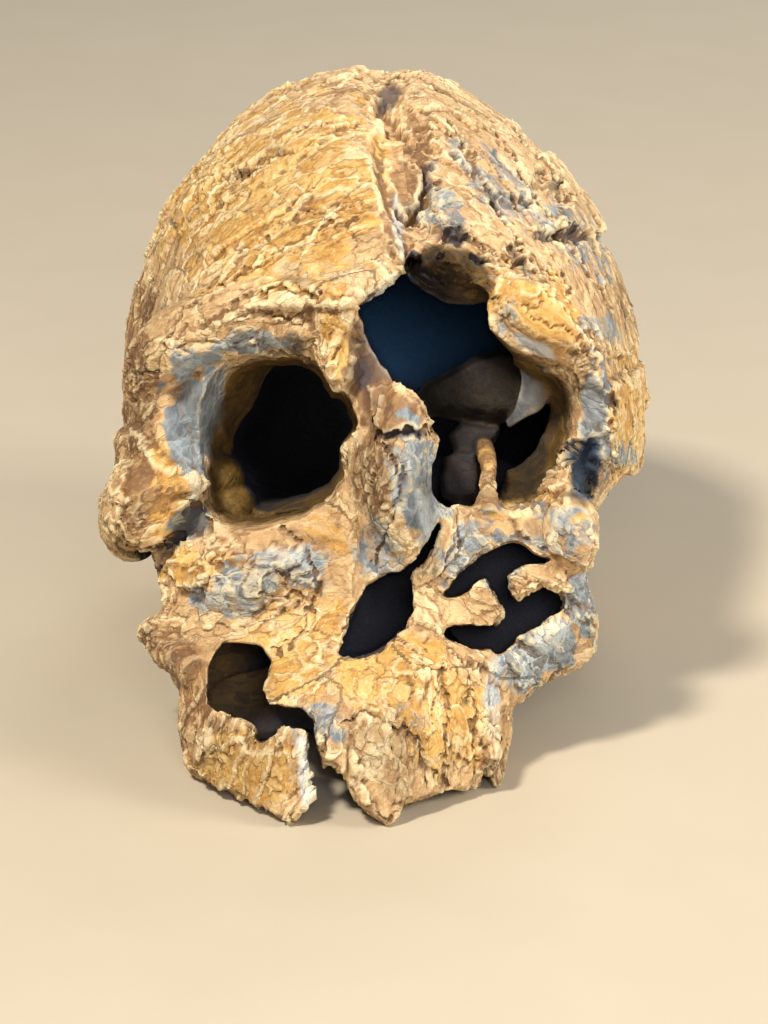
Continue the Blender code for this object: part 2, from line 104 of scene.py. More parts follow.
# %% The frame and the line of sight
MM = 0.001
SIGHT = 900.0
REST_PITCH = math.radians(20.0)
REST_PLACE = Vector((1.76, -65.57, 60.4))
TO_FLOOR = Matrix.Translation(REST_PLACE * MM) @ Matrix.Rotation(-REST_PITCH, 4, "X")


def seen(across, depth, up):
    """The point at that depth on the line of sight through (across, up) on the face."""
    spread = 1.0 + depth / SIGHT
    return Vector((across * spread, depth, up * spread))


def line_of_sight(points):
    """Across and up on the face for each point, as they line up from in front."""
    spread = 1.0 + points[:, 1] / SIGHT
    return points[:, 0] / spread, points[:, 2] / spread


print("face level above the floor:", round((TO_FLOOR @ Vector((0, 0, 0)))[2] * 1000, 1), "mm")

# %% [markdown]
# ## Camera
#
# The camera is 900 mm away and looks down by the rest pitch, so the face is square to it. Its lens
# follows from how tall the picture is at the level of the face.

# %% Camera
HALF_IMAGE = 512
PIXELS_PER_MM = 4.6
FRAME_TALL = 2 * HALF_IMAGE / PIXELS_PER_MM * MM
SENSOR = 36.0


def look_at(thing, place, target):
    thing.location = place
    thing.rotation_euler = (target - place).to_track_quat("-Z", "Y").to_euler()
    bpy.context.scene.collection.objects.link(thing)


centre = TO_FLOOR @ Vector((0.0, 0.0, 0.0))
eye_place = TO_FLOOR @ Vector((0.0, -SIGHT * MM, 0.0))
lens = bpy.data.cameras.new("eye")
lens.sensor_width = SENSOR
lens.lens = SENSOR * SIGHT * MM / FRAME_TALL
eye = bpy.data.objects.new("eye", lens)
look_at(eye, eye_place, centre)
bpy.context.scene.camera = eye
print("lens", round(lens.lens, 1), "mm, eye", [round(v, 3) for v in eye_place])

# %% [markdown]
# ## Lamps
#
# A small warm key lamp high on the left models the relief, as a raking light does in a fossil
# collection. A wide fill on the right opens its shadows, and weak lamps in front and behind lift
# the sockets and the back. Standard colour management shows the chosen tones as they are.

# %% Lamps
# Place and size in metres, watts, colour.
LAMPS = {
    "key": (Vector((-0.45, -0.62, 1.12)), 0.17, 20.3, (1.0, 0.92, 0.8)),
    "front": (Vector((0.12, -1.0, 0.52)), 0.3, 3.6, (0.95, 0.97, 1.0)),
    "fill": (Vector((1.0, -0.3, 0.5)), 0.4, 10.5, (1.0, 0.94, 0.84)),
    "back": (Vector((0.35, 0.95, 0.9)), 0.5, 5.0, (0.95, 0.97, 1.0)),
}
STUDIO_AIR = (0.86, 0.9, 1.0, 1.0)
STUDIO_AIR_STRENGTH = 0.2

for lamp_name, (place, size, watts, colour) in LAMPS.items():
    lamp = bpy.data.lights.new(lamp_name, "AREA")
    lamp.size = size
    lamp.energy = watts
    lamp.color = colour
    look_at(bpy.data.objects.new(lamp_name, lamp), place, centre)

world = bpy.data.worlds.new("studio")
world.use_nodes = True
air = world.node_tree.nodes["Background"]
air.inputs["Color"].default_value = STUDIO_AIR
air.inputs["Strength"].default_value = STUDIO_AIR_STRENGTH
bpy.context.scene.world = world
bpy.context.scene.view_settings.view_transform = "Standard"
print("lamps:", ", ".join(LAMPS))

# %% [markdown]
# ## Small tools for closed bodies
#
# Bone is thick, so each form is a closed body, and the bodies are joined and cut before anything
# fine is added. A bmesh is the easiest place to make faces by hand, and a modifier's result can be
# read back as a plain mesh. These two steps come first, because every maker ends in one of them.

# %% From a bmesh, and from a modifier


def object_from(bm, name):
    """An object in metres from a bmesh in millimetres."""
    bmesh.ops.recalc_face_normals(bm, faces=bm.faces)
    bmesh.ops.scale(bm, vec=(MM, MM, MM), verts=bm.verts)
    mesh = bpy.data.meshes.new(name)
    bm.to_mesh(mesh)
    bm.free()
    made = bpy.data.objects.new(name, mesh)
    bpy.context.scene.collection.objects.link(made)
    return made


def evaluated_mesh(thing):
    graph = bpy.context.evaluated_depsgraph_get()
    graph.update()
    return bpy.data.meshes.new_from_object(thing.evaluated_get(graph))


def applied(thing):
    """Turns the object's modifiers into its mesh."""
    mesh = evaluated_mesh(thing)
    thing.modifiers.clear()
    thing.data = mesh
    return thing


print("one millimetre is", MM, "m")

# %% [markdown]
# A stack of rings makes any body that changes along its length, such as the braincase. A prism is
# an outline carried along the lines of sight. It suits a face that is known from in front, because
# the outline then lines up for the eye at every depth.

# %% Stacks and prisms


def stack(name, rings):
    """A closed body through rings of as many points each."""
    bm = bmesh.new()
    loops = [[bm.verts.new(point) for point in ring] for ring in rings]
    for near, far in zip(loops, loops[1:]):
        for i in range(len(near)):
            bm.faces.new((near[i], near[i - 1], far[i - 1], far[i]))
    bm.faces.new(loops[0])
    bm.faces.new(tuple(reversed(loops[-1])))
    return object_from(bm, name)


def prism(name, outline, stations):
    """An outline carried along the lines of sight, shrunk at each station to a share of itself
    about a point: (depth, share, (across, up))."""
    rings = []
    for depth, share, (middle_across, middle_up) in stations:
        rings.append([
            seen(
                middle_across + (across - middle_across) * share,
                depth,
                middle_up + (up - middle_up) * share,
            )
            for across, up in outline
        ])
    return stack(name, rings)


print("makers ready: stack, prism")

# %% [markdown]
# Cheeks and knobs are ellipsoids. Brow, sockets and struts are bars: a curve with a round section
# takes a radius of its own at each knot, so a few numbers give a bone that swells and tapers.

# %% Ellipsoids and bars
LUMP_DETAIL = 4
BAR_ROUNDNESS = 4
BAR_STEPS = 6
SAME_PLACE = 0.00001


def lump(name, centre_place, radii):
    """An ellipsoid."""
    bm = bmesh.new()
    bmesh.ops.create_icosphere(bm, subdivisions=LUMP_DETAIL, radius=1.0)
    placed = Matrix.Translation(seen(*centre_place)) @ Matrix.Diagonal((*radii, 1.0))
    bmesh.ops.transform(bm, matrix=placed, verts=bm.verts)
    return object_from(bm, name)


def bar(name, places):
    """A rounded bar of bone through (across, depth, up, radius) places."""
    curve = bpy.data.curves.new(name, "CURVE")
    curve.dimensions = "3D"
    curve.bevel_depth = MM
    curve.bevel_resolution = BAR_ROUNDNESS
    curve.resolution_u = BAR_STEPS
    curve.use_fill_caps = True
    spline = curve.splines.new("BEZIER")
    spline.bezier_points.add(len(places) - 1)
    for knot, (across, depth, up, radius) in zip(spline.bezier_points, places):
        knot.co = seen(across, depth, up) * MM
        knot.radius = radius
        knot.handle_left_type = knot.handle_right_type = "AUTO"
    made = bpy.data.objects.new(name, curve)
    bpy.context.scene.collection.objects.link(made)
    mesh = evaluated_mesh(made)
    bpy.data.objects.remove(made)
    bm = bmesh.new()
    bm.from_mesh(mesh)
    bmesh.ops.remove_doubles(bm, verts=bm.verts, dist=SAME_PLACE)
    bmesh.ops.scale(bm, vec=(1 / MM, 1 / MM, 1 / MM), verts=bm.verts)
    return object_from(bm, name)


print("makers ready: lump, bar")

# %% [markdown]
# Thick forms are joined and cut by exact Booleans, which leave true walls. Thin bones that stand
# in the openings are only added to the mesh, because the voxel remesh melts touching bodies into
# one, and an exact Boolean of so many thin ones is slow and may fail.

# %% Joining, cutting and remeshing


def combined(name, base, things, operation):
    """One Boolean of the base with all the things, which are then removed."""
    group = bpy.data.collections.new(name)
    bpy.context.scene.collection.children.link(group)
    for thing in things:
        bpy.context.scene.collection.objects.unlink(thing)
        group.objects.link(thing)
    cut = base.modifiers.new(name, "BOOLEAN")
    cut.operation = operation
    cut.operand_type = "COLLECTION"
    cut.collection = group
    cut.solver = "EXACT"
    applied(base)
    for thing in list(group.objects):
        bpy.data.objects.remove(thing)
    bpy.data.collections.remove(group)
    return base


def put_together(base, things):
    """Adds the things to the base's mesh as they are, for the voxel remesh to melt together."""
    bm = bmesh.new()
    for thing in (base, *things):
        bm.from_mesh(thing.data)
    bm.to_mesh(base.data)
    bm.free()
    for thing in things:
        bpy.data.objects.remove(thing)
    return base


def voxelled(thing, size):
    remesh = thing.modifiers.new("voxels", "REMESH")
    remesh.mode = "VOXEL"
    remesh.voxel_size = size * MM
    return applied(thing)


print("ways to join: combined, put_together, voxelled")

# %% [markdown]
# ## Reading and moving points in bulk
#
# The fine skull has hundreds of thousands of points, too many for a Python loop. Their places
# are read into one NumPy array, moved with arithmetic on whole columns, and written back.

# %% Points as arrays
FAR_AWAY = 1e9
TINY = 1e-9
SQUARE = ((0, 0), (4, 0), (4, 4), (0, 4))


def points_of(thing):
    co = np.empty(len(thing.data.vertices) * 3, np.float32)
    thing.data.vertices.foreach_get("co", co)
    return co.reshape(-1, 3).astype(float) / MM


def normals_of(thing):
    normals = np.empty(len(thing.data.vertices) * 3, np.float32)
    thing.data.vertices.foreach_get("normal", normals)
    return normals.reshape(-1, 3).astype(float)


def set_points(thing, points):
    thing.data.vertices.foreach_set("co", (points * MM).astype(np.float32).ravel())
    thing.data.update()


def smooth_step(value, low, high):
    share = np.clip((value - low) / (high - low), 0.0, 1.0)
    return share * share * (3.0 - 2.0 * share)


def edge_distance(across, up, line, closed=True):
    """Distance from each place to the line, negative outside a closed one."""
    ends = np.array(line, float)
    starts = ends if closed else ends[:-1]
    stops = np.roll(ends, -1, axis=0) if closed else ends[1:]
    nearest = np.full(len(across), FAR_AWAY)
    inside = np.zeros(len(across), bool)
    for (ax, ay), (bx, by) in zip(starts, stops):
        run = np.array((bx - ax, by - ay))
        share = np.clip(((across - ax) * run[0] + (up - ay) * run[1]) / (run @ run), 0.0, 1.0)
        gap = np.hypot(across - ax - share * run[0], up - ay - share * run[1])
        nearest = np.minimum(nearest, gap)
        crosses = (ay > up) != (by > up)
        level = by - ay if by != ay else TINY
        inside ^= crosses & (across < (bx - ax) * (up - ay) / level + ax)
    return np.where(inside, nearest, -nearest) if closed else nearest


print("1 mm inside a 4 mm square:", edge_distance(np.array([1.0]), np.array([2.0]), SQUARE))

# %% [markdown]
# ## The braincase
#
# The braincase is a lopsided egg: the left side sags outward and the right dome is rounder. A
# loft through nine sections holds that better than a stretched sphere would. Each row gives how
# far the section reaches to the right and left, and its crown and base. The same loft, shrunk,
# is the hollow inside.

# %% Braincase sections
# Depth, reach to the right, reach to the left, crown, base.
BRAINCASE = (
    (8.0, 40.0, 34.0, 43.0, 12.0),
    (20.0, 49.0, 44.0, 61.0, 0.0),
    (35.0, 50.0, 47.0, 79.0, -8.0),
    (55.0, 55.0, 53.0, 95.5, -15.0),
    (80.0, 61.5, 59.0, 105.5, -22.0),
    (105.0, 62.0, 62.5, 104.5, -24.0),
    (130.0, 54.0, 56.0, 91.0, -15.5),
    (148.0, 39.0, 42.0, 69.0, 1.0),
    (160.0, 14.0, 16.0, 40.0, 20.0),
)
BRAINCASE_WAIST = 27.0
WAIST_MARGIN = 3.0
BRAINCASE_MIDDLE = Vector((0.0, 84.0, 40.0))
CROWN_ROUNDNESS_RIGHT = 2.05
CROWN_ROUNDNESS_LEFT = 1.8
BASE_ROUNDNESS = 2.4
BRAINCASE_SIDES = 96
BRAINCASE_RINGS = 48
WALL_SHARE = 0.13
HOLLOW_BACK = 4.0


def section_at(depth):
    """Reaches right and left, crown and base of the braincase at a depth."""
    table = np.array(BRAINCASE)
    i = int(np.clip(np.searchsorted(table[:, 0], depth) - 1, 0, len(table) - 2))
    span = table[i + 1, 0] - table[i, 0]
    t = (depth - table[i, 0]) / span
    before, after = max(i - 1, 0), min(i + 2, len(table) - 1)
    slope_in = (table[i + 1] - table[before]) / (table[i + 1, 0] - table[before, 0]) * span
    slope_out = (table[after] - table[i]) / (table[after, 0] - table[i, 0]) * span
    row = (
        (2 * t ** 3 - 3 * t * t + 1) * table[i]
        + (t ** 3 - 2 * t * t + t) * slope_in
        + (3 * t * t - 2 * t ** 3) * table[i + 1]
        + (t ** 3 - t * t) * slope_out
    )
    return row[1:]


def braincase(name, share=1.0, shift=0.0):
    """The braincase as a loft of its sections, shrunk about its middle and moved back."""
    front, back = BRAINCASE[0][0], BRAINCASE[-1][0]
    rings = []
    for turn in np.linspace(0.0, math.pi, BRAINCASE_RINGS):
        depth = front + (back - front) * (1 - math.cos(turn)) / 2
        right, left, crown, base = section_at(depth)
        waist = min(max(BRAINCASE_WAIST, base + WAIST_MARGIN), crown - WAIST_MARGIN)
        ring = []
        for angle in np.linspace(0.0, 2 * math.pi, BRAINCASE_SIDES, endpoint=False):
            side, rise = math.cos(angle), math.sin(angle)
            if rise < 0:
                power = 2.0 / BASE_ROUNDNESS
            elif side < 0:
                power = 2.0 / CROWN_ROUNDNESS_RIGHT
            else:
                power = 2.0 / CROWN_ROUNDNESS_LEFT
            reach = left if side > 0 else right
            height = crown - waist if rise > 0 else waist - base
            across = math.copysign(abs(side) ** power, side) * reach
            up = waist + math.copysign(abs(rise) ** power, rise) * height
            place = BRAINCASE_MIDDLE + (Vector((across, depth, up)) - BRAINCASE_MIDDLE) * share
            ring.append(place + Vector((0.0, shift, 0.0)))
        rings.append(ring)
    return stack(name, rings)


print("braincase is", BRAINCASE[-1][0] - BRAINCASE[0][0], "mm long")

# %% [markdown]
# ## The face
#
# The face is a thick plate: one outline with every notch that the eye can see against the
# background, bent to the relief of the face. The relief is a formula, because a face is smooth
# at this scale: a shallow cylinder, a ridge for the nose and a deeper curve for the tooth row.

# %% Face plate
FACE_EDGE = (
    (-54, 25), (-49, 36), (-37, 42.5), (-20, 46), (5, 48), (23.5, 51), (36, 46), (44.5, 37),
    (47, 22), (46.5, 8), (44, 2), (46.5, -8.3), (43.5, -13.5), (45.5, -22), (44.5, -30.5),
    (33, -38), (28.5, -42), (27, -52), (25.5, -60), (18, -60.5), (12, -61), (4, -64),
    (0.5, -68), (-4, -65.5), (-7, -62), (-9, -56), (-13, -53.5), (-15.5, -60), (-18, -65.5),
    (-20.5, -66.5), (-27, -63.5), (-36, -59.5), (-41.5, -55.5), (-44.5, -48.5), (-44.5, -38),
    (-48, -33.5), (-53, -27.5), (-52.5, -24), (-48, -22.5), (-48, -17), (-50.5, -9),
    (-55, -1), (-57.5, 8), (-56, 16.5),
)
FACE_THICKNESS = 12.0
FACE_LEVEL = 5.0
FACE_CURVE = 0.0055
FACE_VOXEL = 1.3
# How far each form comes forward, where its middle is, and its half size.
NOSE = (-9.0, (3, 8), (9, 19))
BROW = (-3.0, 41, 7)
JAW = (-13.0, -8, 34)
JAW_CURVE = 24.0
JAW_FROM = (20.0, 52.0)


def face_depth(across, up):
    """Depth of the front of the face at each place."""
    level = FACE_LEVEL + FACE_CURVE * across ** 2
    reach, (middle, height), (half_wide, half_tall) = NOSE
    nose = reach * np.exp(-(((across - middle) / half_wide) ** 2) - ((up - height) / half_tall) ** 2)
    reach, height, half_tall = BROW
    brow = reach * np.exp(-(((up - height) / half_tall) ** 2))
    reach, middle, half_wide = JAW
    jaw = reach + JAW_CURVE * ((across - middle) / half_wide) ** 2
    lower = smooth_step(-up, *JAW_FROM)
    return (level + nose + brow) * (1 - lower) + jaw * lower


print("tip of the nose ridge at depth", round(float(face_depth(3.0, 8.0)), 1), "mm")

# %% [markdown]
# Broken bone has no smooth outline. So every outline is cut into short steps, and each step is
# moved by noise that wanders and by noise that jumps, which gives small straight chips.

# %% Broken edges
EDGE_STEP = 1.3
EDGE_REACH = 0.55
WANDER_RATE = 0.45
CHIP_RATE = 0.9
CHIP_SHARE = 0.7


def rough_edge(outline, step=EDGE_STEP, reach=EDGE_REACH):
    """The outline as broken bone has it: short straight chips instead of long lines."""
    places = []
    for (ax, ay), (bx, by) in zip(outline, outline[1:] + outline[:1]):
        length = math.hypot(bx - ax, by - ay)
        count = max(1, round(length / step))
        for i in range(count):
            across = ax + (bx - ax) * i / count
            up = ay + (by - ay) * i / count
            wander = noise.noise_vector(Vector((across, up, 3.0)) * WANDER_RATE)
            chip = noise.cell_vector(Vector((across, up, 9.0)) * CHIP_RATE) - Vector((0.5, 0.5, 0.5))
            places.append((
                across + reach * (wander[0] + CHIP_SHARE * chip[0]),
                up + reach * (wander[1] + CHIP_SHARE * chip[1]),
            ))
    return tuple(places)


def face():
    plate = prism("face", rough_edge(FACE_EDGE), [(0, 1, (0, 0)), (FACE_THICKNESS, 1, (0, 0))])
    voxelled(plate, FACE_VOXEL)
    points = points_of(plate)
    across, up = line_of_sight(points)
    points[:, 1] += face_depth(across, up)
    spread = 1.0 + points[:, 1] / SIGHT
    points[:, 0], points[:, 2] = across * spread, up * spread
    set_points(plate, points)
    return plate


print("outline points after breaking:", len(rough_edge(FACE_EDGE)))

# %% [markdown]
# ## What is open or broken away
#
# The holes are the first thing that the eye reads on this skull: the right eye socket, the gap
# where the middle of the forehead is missing, the left eye socket that opens into it, the nose,
# the sinus of the left cheek with two islands of bone in it, and the space behind the right
# tooth row. Each is an outline carried inward. The eye sockets narrow with depth, and the rest
# run straight in, so that their islands keep their shape.

# %% Outlines of the openings
RIGHT_ORBIT = (
    (-41.7, 7.5), (-42.1, 14.5), (-41, 20), (-38, 28), (-34.6, 33), (-28, 35), (-20.5, 35.2),
    (-16, 34), (-13.6, 31.6), (-12, 28.4), (-10.6, 26.3), (-8.9, 26.4), (-7, 24), (-5.4, 18.5),
    (-8.8, 14.4), (-8.6, 8), (-11.2, 3.2), (-17.6, -0.8), (-23, -2.6), (-28, -4.4),
    (-36.5, -4.2), (-40.4, -1),
)
FRONTAL_GAP = (
    (6.1, 57), (10.4, 55.7), (13.5, 54.3), (18.9, 49.8), (22.8, 47.2), (23.3, 39.6), (28, 34),
    (29, 24), (27, 10), (24.6, 1.7), (19.3, 0.9), (15.9, 1.5), (13.9, 0.2), (11.7, 2),
    (10.2, 4.8), (10.4, 8.7), (11.7, 15.7), (8.9, 22.6), (6.3, 26.3), (2.4, 27.8),
    (-1.1, 32.8), (-4.1, 37.8), (-6.1, 44.8), (0.4, 48.5), (3.9, 52), (4.8, 54.8),
)
LEFT_ORBIT = (
    (22.5, 40.2), (28.3, 35.7), (35.2, 33.5), (40.4, 31.3), (43.4, 27.6), (44.4, 22.2),
    (43, 15.7), (40.9, 12), (40.7, 7.4), (36.7, 4.6), (34.3, 1.5), (31.3, 0.2), (27.4, 0.4),
    (23.5, 1.7), (21, 20),
)
NASAL_OPENING = (
    (12, -0.5), (14, -0.8), (12.4, -5.3), (10.9, -8.3), (9.3, -10.9), (6.4, -13.3), (6.9, -17.8),
    (7.2, -21.7), (5.4, -25.2), (2, -28.8), (-2, -31.3), (-6.5, -32.8), (-11.5, -32.8),
    (-9.8, -27.8), (-7, -21.7), (-4.1, -15.3), (-0.7, -13.3), (3.4, -12.6), (5.4, -10.9),
    (7.8, -8.3), (10.4, -4.3),
)
SINUS_OPENING = (
    (11.7, -18.5), (14.3, -16.7), (16.3, -13.3), (20.4, -9.8), (25.4, -7.3), (27.8, -6.3),
    (30, -6.9), (33, -9.1), (37.3, -10.3), (35, -11.3), (30.4, -11.9), (26.9, -13.8),
    (27.4, -16.7), (28.9, -19.4), (31.8, -17.4), (35.3, -15.3), (38, -17), (39.6, -19.8),
    (38.3, -22.3), (33.8, -25.3), (29.4, -27.3), (26.4, -30.3), (24.9, -31.7), (23.4, -29.8),
    (18.4, -29.6), (14.3, -27.8), (12.4, -26.3), (14.5, -24.9), (19.9, -24.8), (24.4, -24.8),
    (25.9, -21.7), (24.9, -19.4), (22.8, -16.7), (22.4, -14.1), (20.4, -14.8), (18.4, -17.3),
    (15.4, -18.3),
)
CANINE_GAP = (
    (-38.5, -34), (-35, -28), (-27, -29), (-24, -33), (-26, -38), (-25, -42), (-18, -42.5),
    (-15.3, -45.5), (-13.8, -52), (-13, -61), (-16.4, -61), (-16.8, -48), (-18.3, -47),
    (-22, -47), (-26, -50), (-27.6, -50.3), (-28.6, -46.5), (-32, -45), (-36, -43.5), (-38, -42),
)
CHEEK_CRACK = (
    (-42.2, -5), (-42.4, -6.4), (-46.8, -8.7), (-48.6, -11.6), (-49.6, -14.2), (-54, -12.6),
    (-53.4, -8.4), (-50.9, -7.2), (-46.8, -5.4),
)
HERE = (0, 0)


def hollows():
    return [
        braincase("brain_hollow", 1.0 - WALL_SHARE, HOLLOW_BACK),
        prism("right_orbit", rough_edge(RIGHT_ORBIT, reach=0.4), [
            (-30, 1, HERE), (9, 1, HERE), (34, 0.68, (-14, 15)), (60, 0.45, (-12, 14))]),
        prism("frontal_gap", rough_edge(FRONTAL_GAP), [(-30, 1, HERE), (50, 1, HERE)]),
        prism("left_orbit", rough_edge(LEFT_ORBIT, reach=0.4), [
            (-30, 1, HERE), (12, 1, HERE), (34, 0.52, (25, 20)), (60, 0.3, (23, 18))]),
        prism("nasal_opening", rough_edge(NASAL_OPENING, reach=0.35), [
            (-30, 1, HERE), (42, 0.85, (0, -20))]),
        prism("sinus_opening", rough_edge(SINUS_OPENING, reach=0.3), [
            (-30, 1, HERE), (34, 1, HERE)]),
        prism("canine_gap", rough_edge(CANINE_GAP), [(-40, 1, HERE), (30, 1, HERE)]),
        prism("cheek_crack", rough_edge(CHEEK_CRACK, reach=0.3), [(-20, 1, HERE), (20, 1, HERE)]),
        lump("temporal_hollow_left", (61, 92, -6), (20, 60, 18)),
        lump("foramen_magnum", (0, 92, -22), (13, 15, 16)),
    ]


print("openings: 8 outlines and 2 rounded hollows")

# %% [markdown]
# ## The solid forms behind the face
#
# The brow, the side walls of the sockets, the cheeks, the tooth rows, the palate and the bumps
# under the ears are bars and ellipsoids sunk into the plate and the braincase. Joined first and
# cut after, they leave real walls inside each opening.

# %% Solid forms


def solid_forms():
    return [
        braincase("braincase"),
        bar("brow_right", [(-53, 20, 24, 5), (-47, 12, 35, 8), (-34, 6, 41.5, 8),
                           (-20, 4, 43, 8), (-9, 4, 44, 7), (0, 8, 50, 5)]),
        bar("brow_spur", [(-12, 5, 42, 6), (-11, 2.5, 35, 4.6), (-10.2, 1.5, 28.6, 2.4)]),
        bar("brow_left", [(23.5, 12, 47, 4), (31, 9, 43.5, 6.5), (40, 11, 37, 6.5),
                          (45.5, 17, 26, 4.5), (46, 20, 12, 4)]),
        bar("orbit_side_right", [(-50, 17, 28, 6), (-47.5, 18, 15, 7), (-47, 17, 4, 7)]),
        lump("cheek_right", (-50, 18, 3), (8.5, 8, 11)),
        lump("cheek_left", (41, 14, -4), (6, 8, 10)),
        bar("nasal_bridge", [(4, 16, 31, 5), (5, 3, 24, 5.5), (3, -1, 12, 6.5),
                             (3, -1, 2, 6.5), (6, 1, -7, 5)]),
        lump("maxilla_body_right", (-28, 24, -14), (17, 18, 13)),
        lump("maxilla_body_left", (27, 26, -16), (18, 20, 19)),
        lump("skull_centre", (0, 62, -4), (25, 26, 21)),
        lump("palate", (-7, 28, -40), (32, 31, 8)),
        lump("socket_back_right", (-27, 36, -42), (13, 9, 8)),
        lump("nasal_back_wall", (-3, 50, -26), (17, 10, 16)),
        bar("socket_row_right", [(-34, 6, -53, 6.5), (-37, 20, -48, 6.5), (-37, 44, -42, 6)]),
        bar("socket_row_left", [(18, 3, -52, 6.5), (20, 20, -48, 6.5), (21, 46, -42, 6)]),
        bar("pterygoid_right", [(-37, 42, -41, 6), (-29, 50, -28, 9), (-20, 58, -10, 9)]),
        bar("pterygoid_left", [(21, 44, -41, 6), (22, 50, -28, 9), (19, 58, -10, 9)]),
        bar("mastoid_right", [(-40, 88, -4, 12), (-39.5, 89, -17, 10), (-39, 90, -26, 6.5)]),
        bar("mastoid_left", [(36, 88, -4, 12), (35.5, 89, -17, 10), (35, 90, -26, 6.5)]),
        lump("temporal_bulge_right", (-55, 62, -1.5), (7.5, 17, 9.5)),
        bar("cheek_root_right", [(-49, 34, -28, 3.4), (-47, 20, -30, 4.2), (-41, 12, -35, 4)]),
    ]


print("forms behind the face are ready to be made")

# %% [markdown]
# Thin bones still stand inside the openings: a strut and a plate in the left socket, a shelf and
# a slab of wall in the broken forehead, chips of rock, and two knobs in the right socket. Without
# them the openings would look like holes in a mask.

# %% Thin bones inside the openings
ORBIT_PLATE = (
    (29, 36), (33.3, 34.5), (34.8, 30.7), (36.1, 26.1), (34.8, 22.6), (31.3, 20.7),
    (26.9, 18.1), (26.3, 19.6), (28.9, 23.1), (29.8, 28.6),
)
GAP_WALL = (
    (4.6, 54.3), (10.4, 58), (18.7, 57), (23, 52.2), (23.8, 45.7), (18.7, 45), (13.5, 45.4),
    (8.9, 48), (5.4, 51),
)
INNER_SHELF = (
    (6.4, 25.1), (9, 28.2), (13, 29.8), (18.7, 33.6), (25.2, 35.8), (33, 35), (32, 24.3),
    (29.6, 19.5), (23, 18.9), (16.5, 20), (9.5, 20.4),
)
SOCKET_SIDE_WALL = (
    (-39.5, 36), (-30, 37), (-20.5, 36), (-22.5, 33), (-25.7, 29.8), (-28.5, 23), (-33, 16.7),
    (-32.6, 13.5), (-36, 11), (-40.5, 12),
)
STRUT = ((20.2, -1), (20.2, 8), (20.4, 17.5), (24.6, 16), (24.8, 4), (26.5, -1))
LEFT_SOCKET_FLOOR = ((23, -1), (23, 16), (30, 20), (36, 14), (36.5, 5), (32, -1))
INNER_CHIPS = (
    ((14, 17), (17, 19.4), (21, 18.6), (25.5, 18.2), (24, 14.6), (20, 12.6), (15, 13.4)),
    ((12, 7), (13, 12), (17, 13.4), (20.5, 12.8), (21, 7), (20.6, 3), (16.6, 1), (12.4, 3)),
)


def inner_bones():
    """Thin bones left standing inside the openings."""
    return [
        bar("orbit_strut", [(21, 42, 16.5, 2.4), (22.2, 26, 12.5, 2.2), (22.8, 18, 9.5, 2),
                            (22.6, 13, 5, 2.1), (22.2, 9, -1, 3.2)]),
        lump("socket_knob", (-35, 31, 7.5), (5, 8, 5.5)),
        lump("socket_knob_low", (-33, 31, 1), (5.8, 8, 6)),
        prism("socket_side_wall", rough_edge(SOCKET_SIDE_WALL, reach=0.3), [
            (13, 0.3, (-41, 30)), (31, 1, HERE), (46, 1, HERE)]),
        lump("sphenoid", (17, 60, 6), (16, 12, 7)),
        prism("gap_wall", rough_edge(GAP_WALL, reach=0.3), [
            (9, 0.25, (14, 57)), (30, 1, (14, 57)), (48, 1, (14, 57))]),
        prism("inner_shelf", rough_edge(INNER_SHELF, reach=0.5), [
            (43, 0.7, (22, 30)), (47, 1, HERE), (60, 1, HERE)]),
        prism("inner_chip_high", rough_edge(INNER_CHIPS[0], reach=0.4), [
            (36, 0.8, (21, 16)), (39, 1, HERE), (62, 0.9, (21, 12))]),
        prism("inner_chip_low", rough_edge(INNER_CHIPS[1], reach=0.4), [
            (33, 0.8, (17, 11)), (36, 1, HERE), (62, 0.9, (17, 9))]),
        prism("orbit_plate", rough_edge(ORBIT_PLATE, reach=0.4), [
            (27, 1, HERE), (31, 1, HERE), (48, 0.9, (33, 33))]),
    ]


print("outlines inside the openings:", 6 + len(INNER_CHIPS))

# %% [markdown]
# Everything is joined in this order: first the thick forms, then the openings, then the thin bones
# that stand in them, so that no opening cuts them away.

# %% Join and cut
skull = combined("forms", face(), solid_forms(), "UNION")
skull = combined("openings", skull, hollows(), "DIFFERENCE")
skull = put_together(skull, inner_bones())
print("joined skull:", len(skull.data.polygons), "faces")

# %% [markdown]
# ## A fine, even skin of points
#
# Flakes of half a millimetre need points closer than that. A voxel remesh turns the joined body
# into an even grid of small faces, and a light smoothing takes the stair steps off it.

# %% Fine remesh
FINE_VOXEL = 0.62
SOFTENING = 0.5
SOFTEN_ROUNDS = 2

skull.name = "skull"
voxelled(skull, FINE_VOXEL)
soften = skull.modifiers.new("soften", "SMOOTH")
soften.factor = SOFTENING
soften.iterations = SOFTEN_ROUNDS
applied(skull)
print("fine skull:", len(skull.data.polygons), "faces")

# %% [markdown]
# ## Pieces that stand proud, and the gaps between them
#
# Rock grew between the broken pieces, so whole pieces stand two or three millimetres higher than
# their neighbours and end in a cliff. Each such piece is an outline with a height, and each gap
# is a line with a width and a depth. They move the points along the way that the surface faces,
# and only where it faces the eye, so the hollow inside keeps its walls.

# %% The raised half of the forehead
FOREHEAD_EDGE = (
    (-6, 44), (0.4, 48.5), (4.8, 52), (4.9, 57), (4.4, 60.5), (0.4, 65), (-1.6, 73), (-2.4, 80),
    (-1, 87), (-2, 92), (-2, 140),
)
FOREHEAD_STEP = 3.4
FOREHEAD_FADE = (6.0, 30.0)
FOREHEAD_TOP = (74.0, 90.0)
print("the forehead's right half stands", FOREHEAD_STEP, "mm proud")

# %% [markdown]
# The other pieces are named for where they sit. A soft cliff would look like clay, so most cliffs
# are only half a millimetre wide.

